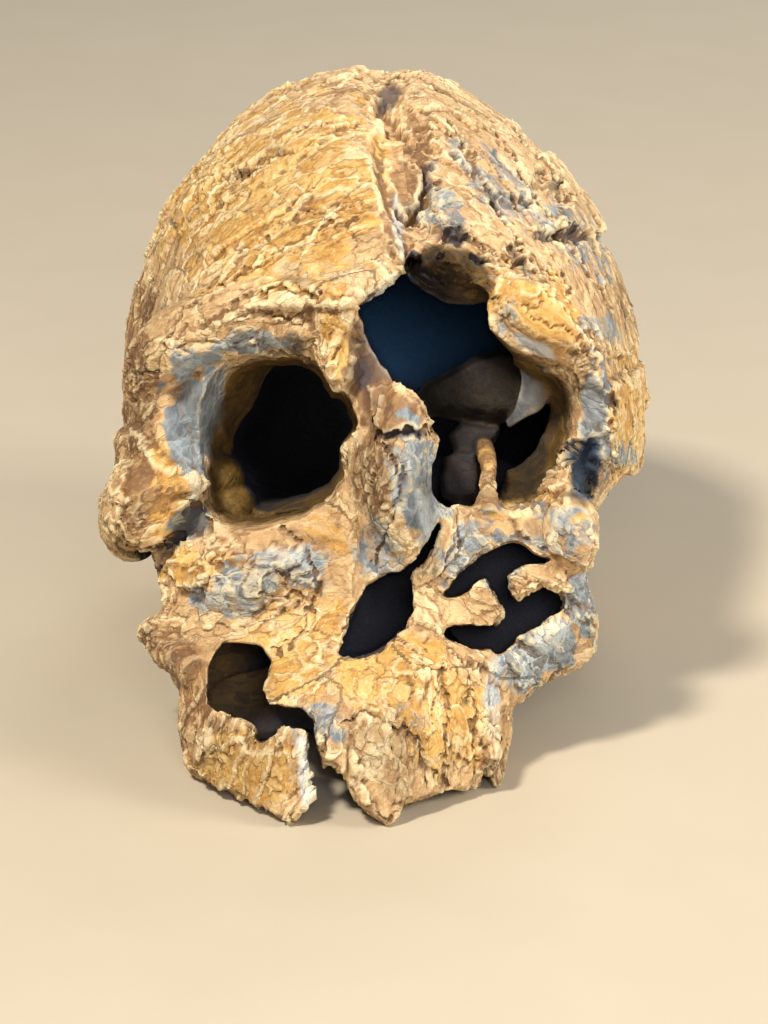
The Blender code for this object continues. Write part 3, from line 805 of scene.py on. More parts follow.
# %% Raised pieces
# Height, softness of the cliff, outline.
RAISED_PIECES = {
    "cheek_block": (2.8, 0.9, (
        (-57.5, 17.4), (-52, 18.3), (-48.7, 12.4), (-39.3, 7.4), (-38.9, 4.3), (-42.2, 1.5),
        (-44.8, -1.7), (-46.5, -6.1), (-50.4, -7.8), (-54.8, -6.1), (-60, -0.7), (-60, 10))),
    "face_below_block": (-1.7, 0.6, (
        (-42, 3.4), (-39.4, 1), (-37.2, -4.6), (-42, -5.6), (-46.8, -5.6), (-44.2, -2))),
    "block_under_socket": (2.0, 0.9, (
        (-47, -10.4), (-43.3, -6.7), (-36.7, -6.1), (-33.9, -8.7), (-35.2, -12.6), (-40, -16.5),
        (-44.8, -16.5))),
    "veined_piece": (1.0, 0.8, (
        (-39, -17), (-33, -10.5), (-24, -7.5), (-13, -8), (-11.5, -12), (-15, -17), (-25, -18.5),
        (-31, -24.5), (-39, -24.5))),
    "brow_chip": (2.4, 0.7, (
        (23.5, 49.3), (27.8, 51.5), (35, 48.3), (40.4, 42.2), (45.9, 35.2), (47.5, 26.5),
        (44.8, 27.6), (40.4, 35.2), (35, 36.3), (28.5, 40.7), (24.6, 43.9))),
    "vault_slab_high": (1.2, 0.5, (
        (10, 88), (27, 84), (33, 76), (32, 69), (25, 67), (18, 74), (10, 80))),
    "vault_slab_strip": (1.1, 0.5, (
        (10, 70), (21, 71), (35, 48.3), (29.6, 46), (18.7, 59), (12.2, 62.4))),
    "vault_slab_low": (1.2, 0.5, (
        (35, 57), (44.8, 59.1), (50.2, 54.3), (56.7, 39.6), (52.4, 33), (47, 35.2), (38.3, 48.3))),
    "vault_edge_high": (2.0, 0.5, (
        (32.8, 75.4), (38.3, 78), (43.5, 71), (40.4, 67.8), (35, 70))),
    "vault_edge_middle": (2.2, 0.5, (
        (38.3, 66.7), (43.6, 70), (49, 60.2), (42.6, 60.4), (37.8, 61.6))),
    "vault_edge_low": (1.8, 0.5, (
        (47.5, 27), (60, 34), (62, 18), (58, 9), (50, 9.5), (48, 18))),
    "dome_slab_edge": (0.9, 0.5, (
        (-2, 71), (4.6, 57), (3.5, 51.5), (-5.2, 46), (-18.3, 48.3), (-16, 59), (-7.4, 67.8))),
    "dome_slab_high": (1.0, 0.5, (
        (-48.7, 66.7), (-33.5, 78.7), (-11.7, 87.4), (-7.4, 83), (-18.3, 74.3), (-29, 70),
        (-40, 64.6), (-47.6, 62.4))),
    "dome_slab_middle": (0.8, 0.5, (
        (-40, 55.9), (-27, 59), (-16, 64.6), (-18.3, 70), (-31.3, 64.6), (-42, 60.2))),
    "crown_chip": (1.8, 0.8, (
        (0.2, 78.7), (5.7, 78.7), (8.9, 73.3), (7.8, 66.7), (3.5, 66.7), (0.2, 72.2))),
    "nose_root": (1.6, 0.7, (
        (-4.1, 27.6), (3.5, 28), (9.6, 23.3), (11.3, 17.4), (3.5, 15.9), (-0.4, 16.5),
        (-2.6, 21))),
    "spur": (1.8, 0.8, (
        (-15.7, 43.9), (-6.3, 46), (-7.4, 27.6), (-10.7, 26.5), (-14.3, 35.2))),
    "socket_plates": (1.3, 0.6, (
        (6, -36), (12, -30), (21, -33), (26, -40), (26, -52), (20, -58), (15, -50), (12, -58),
        (7, -50))),
    "front_plate": (1.1, 0.6, (
        (-7, -44), (0, -41), (5, -46), (6, -58), (1, -68), (-5, -62), (-7, -52))),
    "side_tooth_piece": (1.4, 0.6, (
        (-44, -46), (-36, -46), (-29, -50), (-22, -52), (-17.5, -50), (-16, -60), (-19, -68),
        (-30, -62), (-42, -56))),
    "left_cheek_plate": (1.5, 0.7, (
        (28, 0), (36, 2), (43, 2), (46, -6), (44, -12), (37, -9), (30, -5))),
    "left_lower_plate": (1.6, 0.7, (
        (27, -31), (34, -26), (41, -21), (46, -20), (46, -31), (36, -36), (29, -38))),
}

print("raised pieces:", len(RAISED_PIECES))

# %% [markdown]
# Gaps, pits and cracks are lines: a floor of one width, a top of another, and a depth. Between the
# left eye socket and the temple lies a whole sunk area that is filled with dark rock, with painted
# shade over it.

# %% Gaps, pits and cracks
TEMPLE_GAP = ((39.6, 15), (46.8, 15.8), (46.6, 8), (44.8, 2.6), (41, 5.5))

# Half width of the floor, half width at the top, depth, line.
GAPS = {
    "forehead_fissure": (0.5, 9.0, 3.8, (
        (0.2, 92), (1.6, 86), (3.5, 79), (5.5, 72), (6.6, 66), (6.8, 60), (8.2, 53))),
    "crown_hole": (0.92, 2.8, 3.0, ((-0.5, 91), (1.5, 88), (2.5, 85.5))),
    "beside_crown_chip": (0.44, 1.3, 2.6, ((9.5, 76), (9.6, 70), (7, 65), (3, 65.5))),
    "brow_groove": (0.36, 1.1, 1.8, ((21, 55), (26, 54), (31, 53.5), (36, 50))),
    "pit_above_gap": (1.0, 2.2, 2.6, ((15.2, 60.2), (16.2, 59.6))),
    "pit_beside_gap": (0.8, 1.8, 2.0, ((20, 54.8), (21, 54.4))),
    "slit_on_vault": (0.4, 1.1, 1.8, ((22.3, 70.4), (24.2, 68.4))),
    "pit_on_vault": (0.7, 1.6, 1.6, ((30.2, 67.2), (31, 66.6))),
    "pit_high": (0.5, 1.3, 1.4, ((29, 74), (30, 73))),
    "pit_at_edge": (0.5, 1.3, 1.6, ((36.3, 71.5), (37.2, 70.4))),
    "vault_fissure": (0.6, 1.6, 2.0, ((27.2, 57), (30, 53.5), (33.5, 49.8))),
    "vault_fissure_b": (0.5, 1.4, 1.8, ((34, 60), (38, 59.8), (43, 60.4))),
    "pit_low": (0.6, 1.5, 1.6, ((48.8, 24.5), (49.5, 23.6))),
    "chip_crack_a": (0.1, 0.4, 0.9, ((23.3, 46.3), (28, 44.8), (32, 44.3), (34.5, 46.5))),
    "chip_crack_b": (0.1, 0.4, 0.9, ((30.5, 44), (32, 41.2), (36, 40), (40.5, 38.8), (44, 34))),
    "nose_slit": (0.45, 1.1, 3.2, ((-1.5, 16.2), (2, 17.2), (7.5, 17.4), (10.5, 18))),
    "nose_side": (0.2, 0.6, 1.3, ((-0.5, 15), (3.5, 9), (3.2, 2), (1, -5), (-2, -11))),
    "brow_pits": (0.36, 1.1, 1.5, ((-33, 45), (-27, 47.5), (-20, 48.5), (-14, 46.5))),
    "above_socket": (0.24, 0.72, 1.0, ((-45, 38), (-38, 42), (-30, 44), (-18, 41))),
    "palate_crack": (0.28, 0.84, 1.8, ((-9, -47), (-4, -43), (4, -47), (8, -52), (9, -60))),
    "plate_crack_a": (0.18, 0.54, 1.2, ((12.5, -33), (13.5, -42), (13, -52), (14, -60))),
    "plate_crack_b": (0.18, 0.54, 1.2, ((18, -36), (19.5, -45), (19, -54), (20.5, -60))),
    "side_socket": (0.68, 2, 3.5, ((22, -57), (22.6, -61))),
    "cheek_seam": (0.22, 0.66, 1.2, ((-22, -3), (-17, -9), (-14, -16), (-17, -26), (-24, -31))),
    "temple_crack": (0.24, 0.72, 1.0, ((-50, 30), (-44, 44), (-30, 52), (-16, 60), (-6, 62))),
    "dome_crack": (0.2, 0.6, 0.9, ((-40, 72), (-28, 74), (-16, 82), (-4, 84))),
    "left_vault_crack": (0.28, 0.84, 1.3, ((14, 84), (22, 70), (28, 60), (40, 48))),
    "left_vault_crack_b": (0.26, 0.78, 1.2, ((24, 82), (33, 68), (40, 58), (49, 44))),
    "left_vault_crack_c": (0.24, 0.72, 1.2, ((9, 58), (16, 60), (24, 56), (31, 53))),
}
print("gaps:", len(GAPS))

# %% [markdown]
# One pass moves all points. The outlines are read at places that wander a little, so that no edge
# is a straight line, and the lifts add up.

# %% Raise and sink
TEMPLE_DEPTH = 3.0


def waves(points, size, seed):
    """A cheap smooth wander between -1 and 1, the sum of a few slanted waves."""
    rng = np.random.default_rng(seed)
    total = np.zeros(len(points))
    for _ in range(7):
        way = rng.normal(size=3)
        way /= np.linalg.norm(way)
        total += np.sin(points @ way * (2 * math.pi / (size * rng.uniform(0.7, 1.5)))
                        + rng.uniform(0, 2 * math.pi))
    return total / 3.2


def outward_of(points):
    outward = points - np.array(BRAINCASE_MIDDLE)
    return outward / np.linalg.norm(outward, axis=1)[:, None]


def raise_and_sink(thing):
    points, normals = points_of(thing), normals_of(thing)
    across, up = line_of_sight(points)
    outward = outward_of(points)
    facing = (normals * outward).sum(1)
    vault = smooth_step(facing, 0.1, 0.5) * smooth_step(-points[:, 1], -112.0, -95.0)
    face_front = face_depth(across, up)
    toward_eye = smooth_step(-normals[:, 1], -0.1, 0.45)
    near_face = 1 - smooth_step(points[:, 1] - face_front, 5.0, 11.0)
    front = np.maximum(toward_eye * near_face, vault)

    behind_edge = FOREHEAD_EDGE + ((-90, 140), (-90, 44))
    lift = smooth_step(edge_distance(across, up, behind_edge), -0.5, 0.8)
    lift *= 1 - smooth_step(edge_distance(across, up, FOREHEAD_EDGE, closed=False), *FOREHEAD_FADE)
    lift *= FOREHEAD_STEP * (1 - smooth_step(up, *FOREHEAD_TOP)) * vault
    across = across + 0.7 * waves(points, 4.0, 31) + 0.35 * waves(points, 1.7, 32)
    up = up + 0.7 * waves(points, 4.0, 33) + 0.35 * waves(points, 1.7, 34)
    sunk = edge_distance(across, up, TEMPLE_GAP)
    lift -= TEMPLE_DEPTH * smooth_step(sunk, -0.6, 0.6) * front
    for height, softness, outline in RAISED_PIECES.values():
        inside = edge_distance(across, up, outline)
        lift += height * smooth_step(inside, -softness, softness) * front
    for floor_width, top_width, depth, line in GAPS.values():
        near = edge_distance(across, up, line, closed=False)
        lift -= depth * (1 - smooth_step(near, floor_width, top_width)) * front
    way = np.where((vault > 0.5)[:, None], outward, normals)
    set_points(thing, points + way * lift[:, None])


raise_and_sink(skull)
print("points moved:", len(skull.data.vertices))

# %% [markdown]
# ## What each place is: attributes
#
# The flakes on the real bone don't lie at random: they run along it, in one way on the dome and in
# another on the cheek. So each point keeps its place as measured along and across the way that the
# flakes run there, and every pattern after this reads that place.

# %% The way the flakes run
# Degrees above the horizontal, by the nearest of these places.
GRAIN = (
    ((-24, 34, 66), 24), ((-28, 100, 70), 30), ((-55, 60, 30), 60), ((30, 40, 60), -52),
    ((34, 100, 66), -45), ((55, 80, 20), -70), ((-50, 15, 5), 35), ((-30, 8, -16), 12),
    ((3, -4, 6), 78), ((28, 8, -16), -35), ((12, 0, -50), 84), ((-32, 4, -55), 62),
    ((36, 10, 42), -40), ((0, 160, 20), 5),
)
GRAIN_STRETCH = 1.6


def store(thing, name, values):
    """Keeps one value, or one vector, for each point."""
    kind, field = ("FLOAT", "value") if values.ndim == 1 else ("FLOAT_VECTOR", "vector")
    attribute = thing.data.attributes.new(name, kind, "POINT")
    attribute.data.foreach_set(field, values.astype(np.float32).ravel())


def grain_of(points):
    """Places measured along and across the way that the flakes run."""
    nearest = np.full(len(points), FAR_AWAY)
    turn = np.zeros(len(points))
    wobble = points + 5.0 * np.stack([waves(points, 22, seed) for seed in (1, 2, 3)], axis=1)
    for place, degrees in GRAIN:
        far = np.linalg.norm(wobble - np.array(place, float), axis=1)
        turn = np.where(far < nearest, math.radians(degrees), turn)
        nearest = np.minimum(nearest, far)
    along = points[:, 0] * np.cos(turn) + points[:, 2] * np.sin(turn)
    over = -points[:, 0] * np.sin(turn) + points[:, 2] * np.cos(turn)
    return np.stack([along / GRAIN_STRETCH, points[:, 1], over], axis=1)


store(skull, "grain", grain_of(points_of(skull)))
print("ways that the flakes run:", len(GRAIN))

# %% [markdown]
# The colours of the bone are patches with uneven borders: grey where it is bare, golden where the
# sandstone stained it, pale where it is rubbed, brown where rock covers it. Painting them by hand
# would tie them to one mesh, so each patch is a rounded spot with a place, a size and a turn.

# %% Patches of colour
# Across, up, half width, half height, turn in degrees, strength.
PATCHES = {
    "grey": (
        (8, 4, 6.5, 15, 12, 1.0), (-1, -8, 6, 8, 0, 0.6), (-17, -12, 7, 5, 10, 0.8),
        (-31, -16, 11, 6, 25, 0.7), (-43, 20, 5, 16, 5, 1.0), (20, -10, 9, 8, 0, 0.6),
        (37, -3, 11, 6, -12, 0.55), (43, -20, 5, 9, 0, 0.75), (34, -31, 12, 6, 35, 0.9),
        (46, 20, 3.5, 16, 0, 0.9), (8, -44, 5, 4, 0, 0.3), (26, 70, 14, 6, -45, 0.45),
        (41, 60, 12, 5, -45, 0.5), (12, 66, 5, 9, 0, 0.5), (36, 84, 10, 5, -40, 0.35),
        (-15, -46, 7, 5, 0, 0.6), (27, 42, 3, 5, 0, 0.5), (-29, 36.6, 9, 2.2, 0, 0.8),
        (47, 40, 5, 3, -30, 0.6), (52, 12, 4, 3, 0, 0.6), (-41.6, -2.4, 4.2, 3.8, 0, 0.9),
    ),
    "gold": (
        (-24, 68, 26, 20, 20, 1.0), (-49, 5, 9, 13, 10, 1.0), (-41, -12, 8, 5, 0, 0.9),
        (-22, -30, 14, 14, 0, 0.7), (2, -36, 16, 9, 0, 1.0), (14, -44, 13, 12, 0, 0.9),
        (-30, -56, 14, 9, 0, 0.8), (33, 44, 13, 8, -40, 1.0), (-9, 38, 5, 11, 0, 0.8),
        (36, 1, 12, 4, 5, 0.9), (53, 20, 6, 18, 0, 0.7), (-12, -6, 9, 6, 20, 0.5),
        (-34, -58, 10, 8, 0, 1.0),
    ),
    "pale": (
        (-17.2, -57, 1.8, 9, 3, 1.0), (1, 47.5, 6, 2.6, 28, 0.8), (31, 37, 6, 1.6, -32, 0.8),
        (33.5, 27, 2.2, 5, 0, 0.7), (9.8, -3, 2.0, 8, 14, 0.8), (-22, -9, 5, 2.5, 10, 0.5),
        (24, -40, 2, 8, 0, 0.4), (36, -27, 5, 2.5, 30, 0.6), (3.5, 61, 1.4, 7, 12, 0.6),
    ),
    "smooth": (
        (-43, 19, 5.5, 15, 6, 1.0), (-2, 30, 6.5, 12, 25, 1.0), (-22, -5, 17, 3.4, -8, 0.9),
        (-50, 4, 8, 8, 10, 0.6), (29, -1.5, 11, 3.0, 6, 0.9), (4, 72, 6, 18, -12, 0.85),
        (-9, -12, 7, 8, 0, 0.6), (10, 56, 8, 4, 0, 0.7), (45, 18, 4, 14, 0, 0.7),
        (34, 43.5, 14, 8, -38, 1.0), (-37, -33, 8, 5, 0, 0.7), (2, 20, 9, 7, 0, 0.85),
        (43, 9, 5, 8, 0, 1.0), (22, 2, 6, 3, 0, 0.7), (8, 2, 5, 12, 12, 0.5),
        (21, 74, 8, 8, -45, 0.45), (29, 61, 11, 4, -50, 0.45), (45, 49, 8, 10, 20, 0.45),
        (-40, 21, 5, 15, 0, 1.0), (2, 84, 5, 9, -8, 0.9), (-50, 5, 7, 7, 0, 0.85),
        (-41.6, -2.4, 4.2, 3.8, 0, 0.9),
    ),
    "brown": (
        (-55, 28, 6, 26, 0, 1.0), (-48, -30, 9, 6, -40, 0.9), (-54, 0, 5, 7, 0, 0.6),
        (5, 70, 4, 17, -12, 0.7), (-40, -40, 6, 10, 0, 0.6), (26, -56, 5, 5, 0, 0.8),
        (-2, 28, 5, 9, 25, 1.0), (-24, -5, 13, 2.4, -8, 0.5), (-1, 8, 6, 13, 0, 1.0),
        (3, 20, 9, 7, 0, 0.75), (-50, 4, 7, 8, 0, 0.45), (22, 3, 4, 3, 0, 0.8),
        (20, 52, 6, 3, -30, 0.9), (50, 46, 10, 8, -50, 0.4), (-28, 42, 20, 3, 8, 0.5),
    ),
}
# Grey bone inside the right socket, and the pale edge of the plate in the left one.
PALE_BAND = ((-39, 21, 4.2, 14, -8, 1.0),)
PALE_PLATE_EDGE = ((34.6, 25, 1.7, 5.5, -8, 0.9),)
# Bone that lies deeper, with painted shade and shadow on it, and bone that is only a little darker.
SHADED_PATCHES = (
    (-3.5, 34, 3.2, 8, 25, 0.6), (-4.5, 30, 2.2, 4, 15, 0.8), (44, 9, 4, 6.5, 0, 0.9),
    (3.2, 16.9, 5, 1.0, 4, 0.85), (-0.5, 23.5, 2, 3, 0, 0.25), (15.7, 60, 2.4, 2, 0, 0.75),
    (20.4, 54.5, 1.9, 1.5, 0, 0.75), (23.2, 69.4, 1.8, 0.9, -45, 0.7), (30.5, 67, 1.8, 1.3, 0, 0.5),
    (30.3, 53.4, 4.8, 1.4, -50, 0.55), (38.5, 60.1, 5, 1.0, 0, 0.5), (36.8, 70.9, 1.5, 1.1, -40, 0.6),
    (49.1, 24, 1.7, 1.3, 0, 0.6), (0.8, 89.5, 2.4, 3.4, -25, 0.75), (9.4, 71.5, 1.2, 4.8, 5, 0.55),
    (6.4, 66, 2.6, 0.9, 25, 0.5), (-19.3, 37, 2.4, 2.4, 20, 0.7), (-23.5, 78.5, 2.5, 1, 0, 0.4),
    (-19, 50.4, 4, 0.9, -12, 0.45),
)
DIM_PATCHES = (
    (-1, 6, 9, 18, 0, 0.24), (-33, -56, 12, 10, 0, 0.18), (2, -54, 9, 12, 0, 0.26),
    (-24, -16, 10, 6, 10, 0.12), (-52, 34, 6, 26, -8, 0.12), (20, 1, 5, 4, 0, 0.15),
    (8, 0, 5, 13, 12, 0.44), (-41.6, -2.4, 4, 3.8, 0, 0.5),
)
# The middle of the right socket, painted near black as shadow, as an outline.
SOCKET_CENTRE = (
    (-31.5, 12), (-32, 16), (-27.5, 23), (-24.5, 30), (-20, 33), (-12, 30), (-7, 23), (-8, 12),
    (-11, 6), (-17, 3), (-26, 1.5), (-28, 8),
)


def patches(at, rows):
    """How far each place lies in any of the soft patches, with an uneven border."""
    found = np.zeros(len(at.across))
    for centre_across, centre_up, half_wide, half_tall, turn, strength in rows:
        cos, sin = math.cos(math.radians(turn)), math.sin(math.radians(turn))
        x, y = at.across - centre_across, at.up - centre_up
        far = np.hypot((x * cos + y * sin) / half_wide, (-x * sin + y * cos) / half_tall)
        found = np.maximum(found, strength * (1 - smooth_step(far + at.wander, 0.6, 1.25)))
    return found


print("patches:", {name: len(rows) for name, rows in PATCHES.items()})

# %% [markdown]
# What is dark on the real skull is dark because it lies deep inside. A renderer would need many
# bounces of light for that and would still show a clean model's bright walls, so shade is painted
# into the deep places. That needs to know how each point lies: how far behind the face, whether
# it looks towards the front, and whether it is on the outside of the braincase.

# %% How each point lies
FRONT_LIMIT = 0.3
EARS = (62.0, 75.0)
BROW_LEVEL = (40.0, 46.0)


def inside(at, outline, low, high):
    """How far each place lies inside an outline: zero at low, one at high, in millimetres."""
    return smooth_step(edge_distance(at.across, at.up, outline), low, high)


def between(value, start, whole, leave, gone):
    """Zero before start, one from whole to leave, zero again when gone."""
    return smooth_step(value, start, whole) * (1 - smooth_step(value, leave, gone))


def lie_of(thing):
    points, normals = points_of(thing), normals_of(thing)
    across, up = line_of_sight(points)
    at = SimpleNamespace(points=points, across=across, up=up, depth=points[:, 1])
    at.behind = at.depth - face_depth(across, up)
    at.facing = (normals * outward_of(points)).sum(1)
    at.to_eye = -normals[:, 1]
    at.in_front = normals[:, 1] < FRONT_LIMIT
    at.wander = 0.3 * waves(points, 9, 11) + 0.15 * waves(points, 3.5, 12)
    at.in_face = inside(at, FACE_EDGE, -1.0, 2.0)
    at.before_ears = 1 - smooth_step(at.depth, *EARS)
    at.toward_eye = smooth_step(at.to_eye, -0.35, 0.15) * at.before_ears
    within_face = at.in_face * at.before_ears * (1 - smooth_step(up, *BROW_LEVEL))
    at.outer_vault = smooth_step(at.facing, 0.05, 0.4) * smooth_step(at.depth, 12.0, 24.0)
    at.outer_vault *= 1 - within_face
    at.not_vault = 1 - at.outer_vault
    return at


lie = lie_of(skull)
print("points that face the front:", int(lie.in_front.sum()), "of", len(lie.in_front))

# %% [markdown]
# The thin bones inside the openings catch some light, so they are kept apart from the painted shade
# around them. Each is found by its outline and by its depth.

# %% The bones inside the openings


def bones_inside(at):
    bone = SimpleNamespace()
    bone.shelf = inside(at, INNER_SHELF, -1.0, 1.0) * between(at.depth, 38.0, 42.0, 56, 60)
    bone.wall = inside(at, GAP_WALL, -1.0, 1.0) * between(at.depth, 3.0, 8.0, 46, 50)
    bone.plate = inside(at, ORBIT_PLATE, -0.8, 0.3) * between(at.behind, 14.0, 18.0, 40.0, 46.0)
    chips = np.maximum(*[edge_distance(at.across, at.up, chip) for chip in INNER_CHIPS])
    bone.chips = smooth_step(chips, -1.0, 0.5) * smooth_step(at.depth, 28.0, 32.0)
    bone.strut = inside(at, STRUT, -0.5, 0.5) * between(at.behind, 1.0, 3.0, 34.0, 38.0)
    bone.strut *= 1 - bone.chips * smooth_step(at.depth, 30.0, 32.0)
    bone.pale_band = patches(at, PALE_BAND) * smooth_step(-at.depth, -26.0, -18.0)
    return bone


inner = bones_inside(lie)
print("points on the strut:", int((inner.strut > 0.5).sum()))

# %% [markdown]
# Painted shade comes in three colours: violet grey in the openings, a deep blue far inside the
# broken forehead, painted as the cool light of the room that the real hollow only gets, and near
# black as painted shadow in the right socket. Shade is a brown veil painted over places that are
# only a little deeper.

# %% Dark places
SEEN_DARK = (
    # Outline, the depths behind the face where the painted shade starts and is whole, how dark.
    (NASAL_OPENING, (3.0, 6.0), 1.0),
    (SINUS_OPENING, (3.0, 6.0), 1.0),
    (CANINE_GAP, (4.0, 9.0), 0.32),
    (FRONTAL_GAP, (10.0, 18.0), 0.8),
    (SOCKET_CENTRE, (14.0, 24.0), 1.0),
)
HOLLOW_REACH = (60.0, 82.0, 72.0)


def inner_wall_of(at, lit):
    """The inside of the braincase, where shade is painted."""
    reach = (at.points - np.array(BRAINCASE_MIDDLE)) / np.array(HOLLOW_REACH)
    within = np.linalg.norm(reach, axis=1) < 1.0
    wall = smooth_step(-at.facing, 0.1, 0.5) * within * smooth_step(at.depth, 6.0, 18.0)
    return wall * (1 - lit)


# Painted shade and shadow: deep behind the face, in the openings, pits and slits, the cheek crack,
# the temple gap and inside the braincase.
def dark_of(at, inner_wall, lit):
    deep = smooth_step(at.behind, 26.0, 40.0) * at.in_face * at.not_vault
    for outline, (start, whole), strength in SEEN_DARK:
        seen_dark = strength * inside(at, outline, -0.6, 0.6) * smooth_step(at.behind, start, whole)
        deep = np.maximum(deep, seen_dark * at.toward_eye * at.not_vault)
    deep = np.maximum(deep * (1 - lit), patches(at, SHADED_PATCHES) * at.in_front)
    crack = inside(at, CHEEK_CRACK, -0.3, 0.6) * smooth_step(at.behind, 1.5, 3.5)
    gap = inside(at, TEMPLE_GAP, -0.5, 0.5) * at.in_front * at.before_ears
    return np.maximum.reduce((inner_wall, deep, crack, gap))


# Where the blue painted as cool light of the room goes: deep in the broken forehead and the temple
# gap.
def navy_of(at):
    forehead = inside(at, FRONTAL_GAP, -1.0, 2.0) * smooth_step(at.up - 0.35 * at.across, 16.0, 32.0)
    forehead *= smooth_step(at.to_eye, -0.2, 0.3)
    temple = inside(at, TEMPLE_GAP, -1.0, 0.5) * (1 - smooth_step(at.behind, 8.0, 14.0))
    return np.maximum(forehead, temple)


def shade_of(at, bone, wall):
    socket_floor = inside(at, LEFT_SOCKET_FLOOR, -2.0, 2.0) * smooth_step(at.behind, 5.0, 10.0)
    shade = np.maximum.reduce((
        patches(at, DIM_PATCHES) * at.in_front,
        0.89 * bone.shelf,
        0.4 * bone.chips,
        0.75 * socket_floor,
        0.92 * inside(at, TEMPLE_GAP, -1.0, 0.5),
        0.4 * wall * smooth_step(at.up, -8.0, -4.0),
        bone.wall * (0.75 - 0.55 * smooth_step(at.across, 12.0, 20.0)),
    ))
    return shade * (1 - bone.strut) * at.before_ears


print("openings seen dark:", len(SEEN_DARK))

# %% [markdown]
# Now all facts are stored on the points, under names that the material reads back. The strength of
# the relief is one of them: the rims and walls of the sockets are smooth on the real skull, so the
# chips keep only a small share of their height there.

# %% Store the facts
SMOOTH_RELIEF = 0.13


def store_facts(thing, at, bone):
    lit = np.maximum.reduce((0.8 * bone.shelf, 0.85 * bone.wall, bone.strut))
    inner_wall = inner_wall_of(at, lit)
    # Walls of the openings behind the face: olive-brown bone with painted shade of the recess.
    wall = smooth_step(at.behind, 3.5, 9.0) * at.in_face * at.not_vault
    grey_inside = np.maximum(bone.pale_band, bone.plate)
    # Painted shadow, near black, in the middle of the right socket.
    black = inside(at, SOCKET_CENTRE, -3.0, 3.0) * smooth_step(at.behind, 12.0, 26.0)
    colour = {name: patches(at, rows) * at.in_front for name, rows in PATCHES.items()}
    smooth_inside = smooth_step(at.behind, 5.0, 12.0) * at.in_face * at.not_vault
    smooth = np.maximum.reduce((colour["smooth"], inner_wall, smooth_inside))
    uneven = 0.75 + 0.45 * waves(at.points, 26, 21)
    facts = {
        "dark": dark_of(at, inner_wall, lit),
        "navy": navy_of(at),
        "black": black,
        "shade": shade_of(at, bone, wall),
        "wall": np.maximum(wall, bone.wall) * (1 - np.maximum(0.85 * bone.strut, grey_inside)),
        "smooth": smooth,
        "grey": np.maximum(colour["grey"], grey_inside),
        "gold": np.maximum(colour["gold"], bone.strut),
        "brown": np.maximum(colour["brown"], 0.62 * bone.strut),
        "pale": np.maximum(colour["pale"], bone.plate * patches(at, PALE_PLATE_EDGE)),
        "strength": MM * uneven * (1 - (1 - SMOOTH_RELIEF) * smooth),
    }
    for name, values in facts.items():
        store(thing, name, values)


store_facts(skull, lie, inner)
print("facts stored:", [a.name for a in skull.data.attributes if not a.name.startswith(".")])

# %% [markdown]
# ## Chips, plates and cracks
#
# The surface is a mosaic. Three Voronoi patterns, each in a finer size, give every chip its own
# height and sink the cracks between them. Plain Voronoi cells look like soap bubbles, so the
# place is first pushed about by noise, which makes their sides crooked, and it is squeezed
# along the grain, which makes the chips long. The same helper builds the pattern in Geometry
# Nodes, where it moves the points, and in the material, where it colours the very same chips.

# %% One helper for nodes
def add(tree, kind, inputs=None, out=0, tones=(), **settings):
    """Adds a node with its settings. Each input is a number, a colour or another node's output.
    A row of tones, as hex values, fills the node's ramp. Gives back one of its outputs."""
    node = tree.nodes.new(kind)
    for key, value in settings.items():
        setattr(node, key, value)
    for i, hex_colour in enumerate(tones):
        stops = node.color_ramp.elements
        stop = stops[i] if i < 2 else stops.new(1.0)
        stop.position = i / (len(tones) - 1)
        stop.color = linear(hex_colour)
    for name, source in (inputs or {}).items():
        if isinstance(source, bpy.types.NodeSocket):
            tree.links.new(source, node.inputs[name])
        else:
            node.inputs[name].default_value = source
    return node.outputs[out]


print("helper ready: add")

# %% [markdown]
# Four sizes of chip are drawn, from slabs of 15 mm down to crumbs of a millimetre, as they are on
# the real skull. For each the pattern gives random numbers, the distance to the chip's edge in
# millimetres and the way from its middle, which is all that the relief and the colours need.

# %% The chip pattern
# Size and reach of each push, in millimetres.
WANDER_SIZES = ((7.0, 3.2), (2.2, 1.1), (0.8, 0.4))
CHIP_SIZES = {"slab": 15.0, "plate": 6.5, "chip": 2.8, "crumb": 1.2}


def chip_pattern(tree, grain):
    """For each size of chip: its random numbers and colour, the distance to its edge in
    millimetres and the way from its middle."""
    place = grain
    for size, reach in WANDER_SIZES:
        wander = add(tree, "ShaderNodeTexNoise",
                     {"Vector": grain, "Scale": 1.0 / size, "Detail": 1.0}, "Color")
        centred = add(tree, "ShaderNodeVectorMath", {0: wander, 1: (0.5, 0.5, 0.5)},
                      operation="SUBTRACT")
        place = add(tree, "ShaderNodeVectorMath", {0: centred, 1: (2 * reach,) * 3, 2: place},
                    operation="MULTIPLY_ADD")
    found = {}
    for name, size in CHIP_SIZES.items():
        cells = {"Vector": place, "Scale": 1.0 / size}
        colour = add(tree, "ShaderNodeTexVoronoi", cells, "Color")
        border = add(tree, "ShaderNodeTexVoronoi", cells, feature="DISTANCE_TO_EDGE")
        parts = add(tree, "ShaderNodeSeparateXYZ", {0: colour}).node
        found[name] = {
            "random": [parts.outputs[axis] for axis in range(3)],
            "colour": colour,
            "edge": add(tree, "ShaderNodeMath", {0: border, 1: size}, operation="MULTIPLY"),
            "lean": add(tree, "ShaderNodeVectorMath",
                        {0: place, 1: colour.node.outputs["Position"]}, operation="SUBTRACT"),
        }
    return found


print("chip sizes in mm:", CHIP_SIZES)

# %% [markdown]
# The relief is one sum, in millimetres: the height of each plate with its tilt, the height of
# each chip, flakes that stand on some chips only, crumbs, and the cracks between them. It is
# written once and used twice, for the points of the mesh and for the bump of the material. The
# mesh gives the true silhouette and shadows, and the bump the crisp edges that are finer than
# the points are apart.

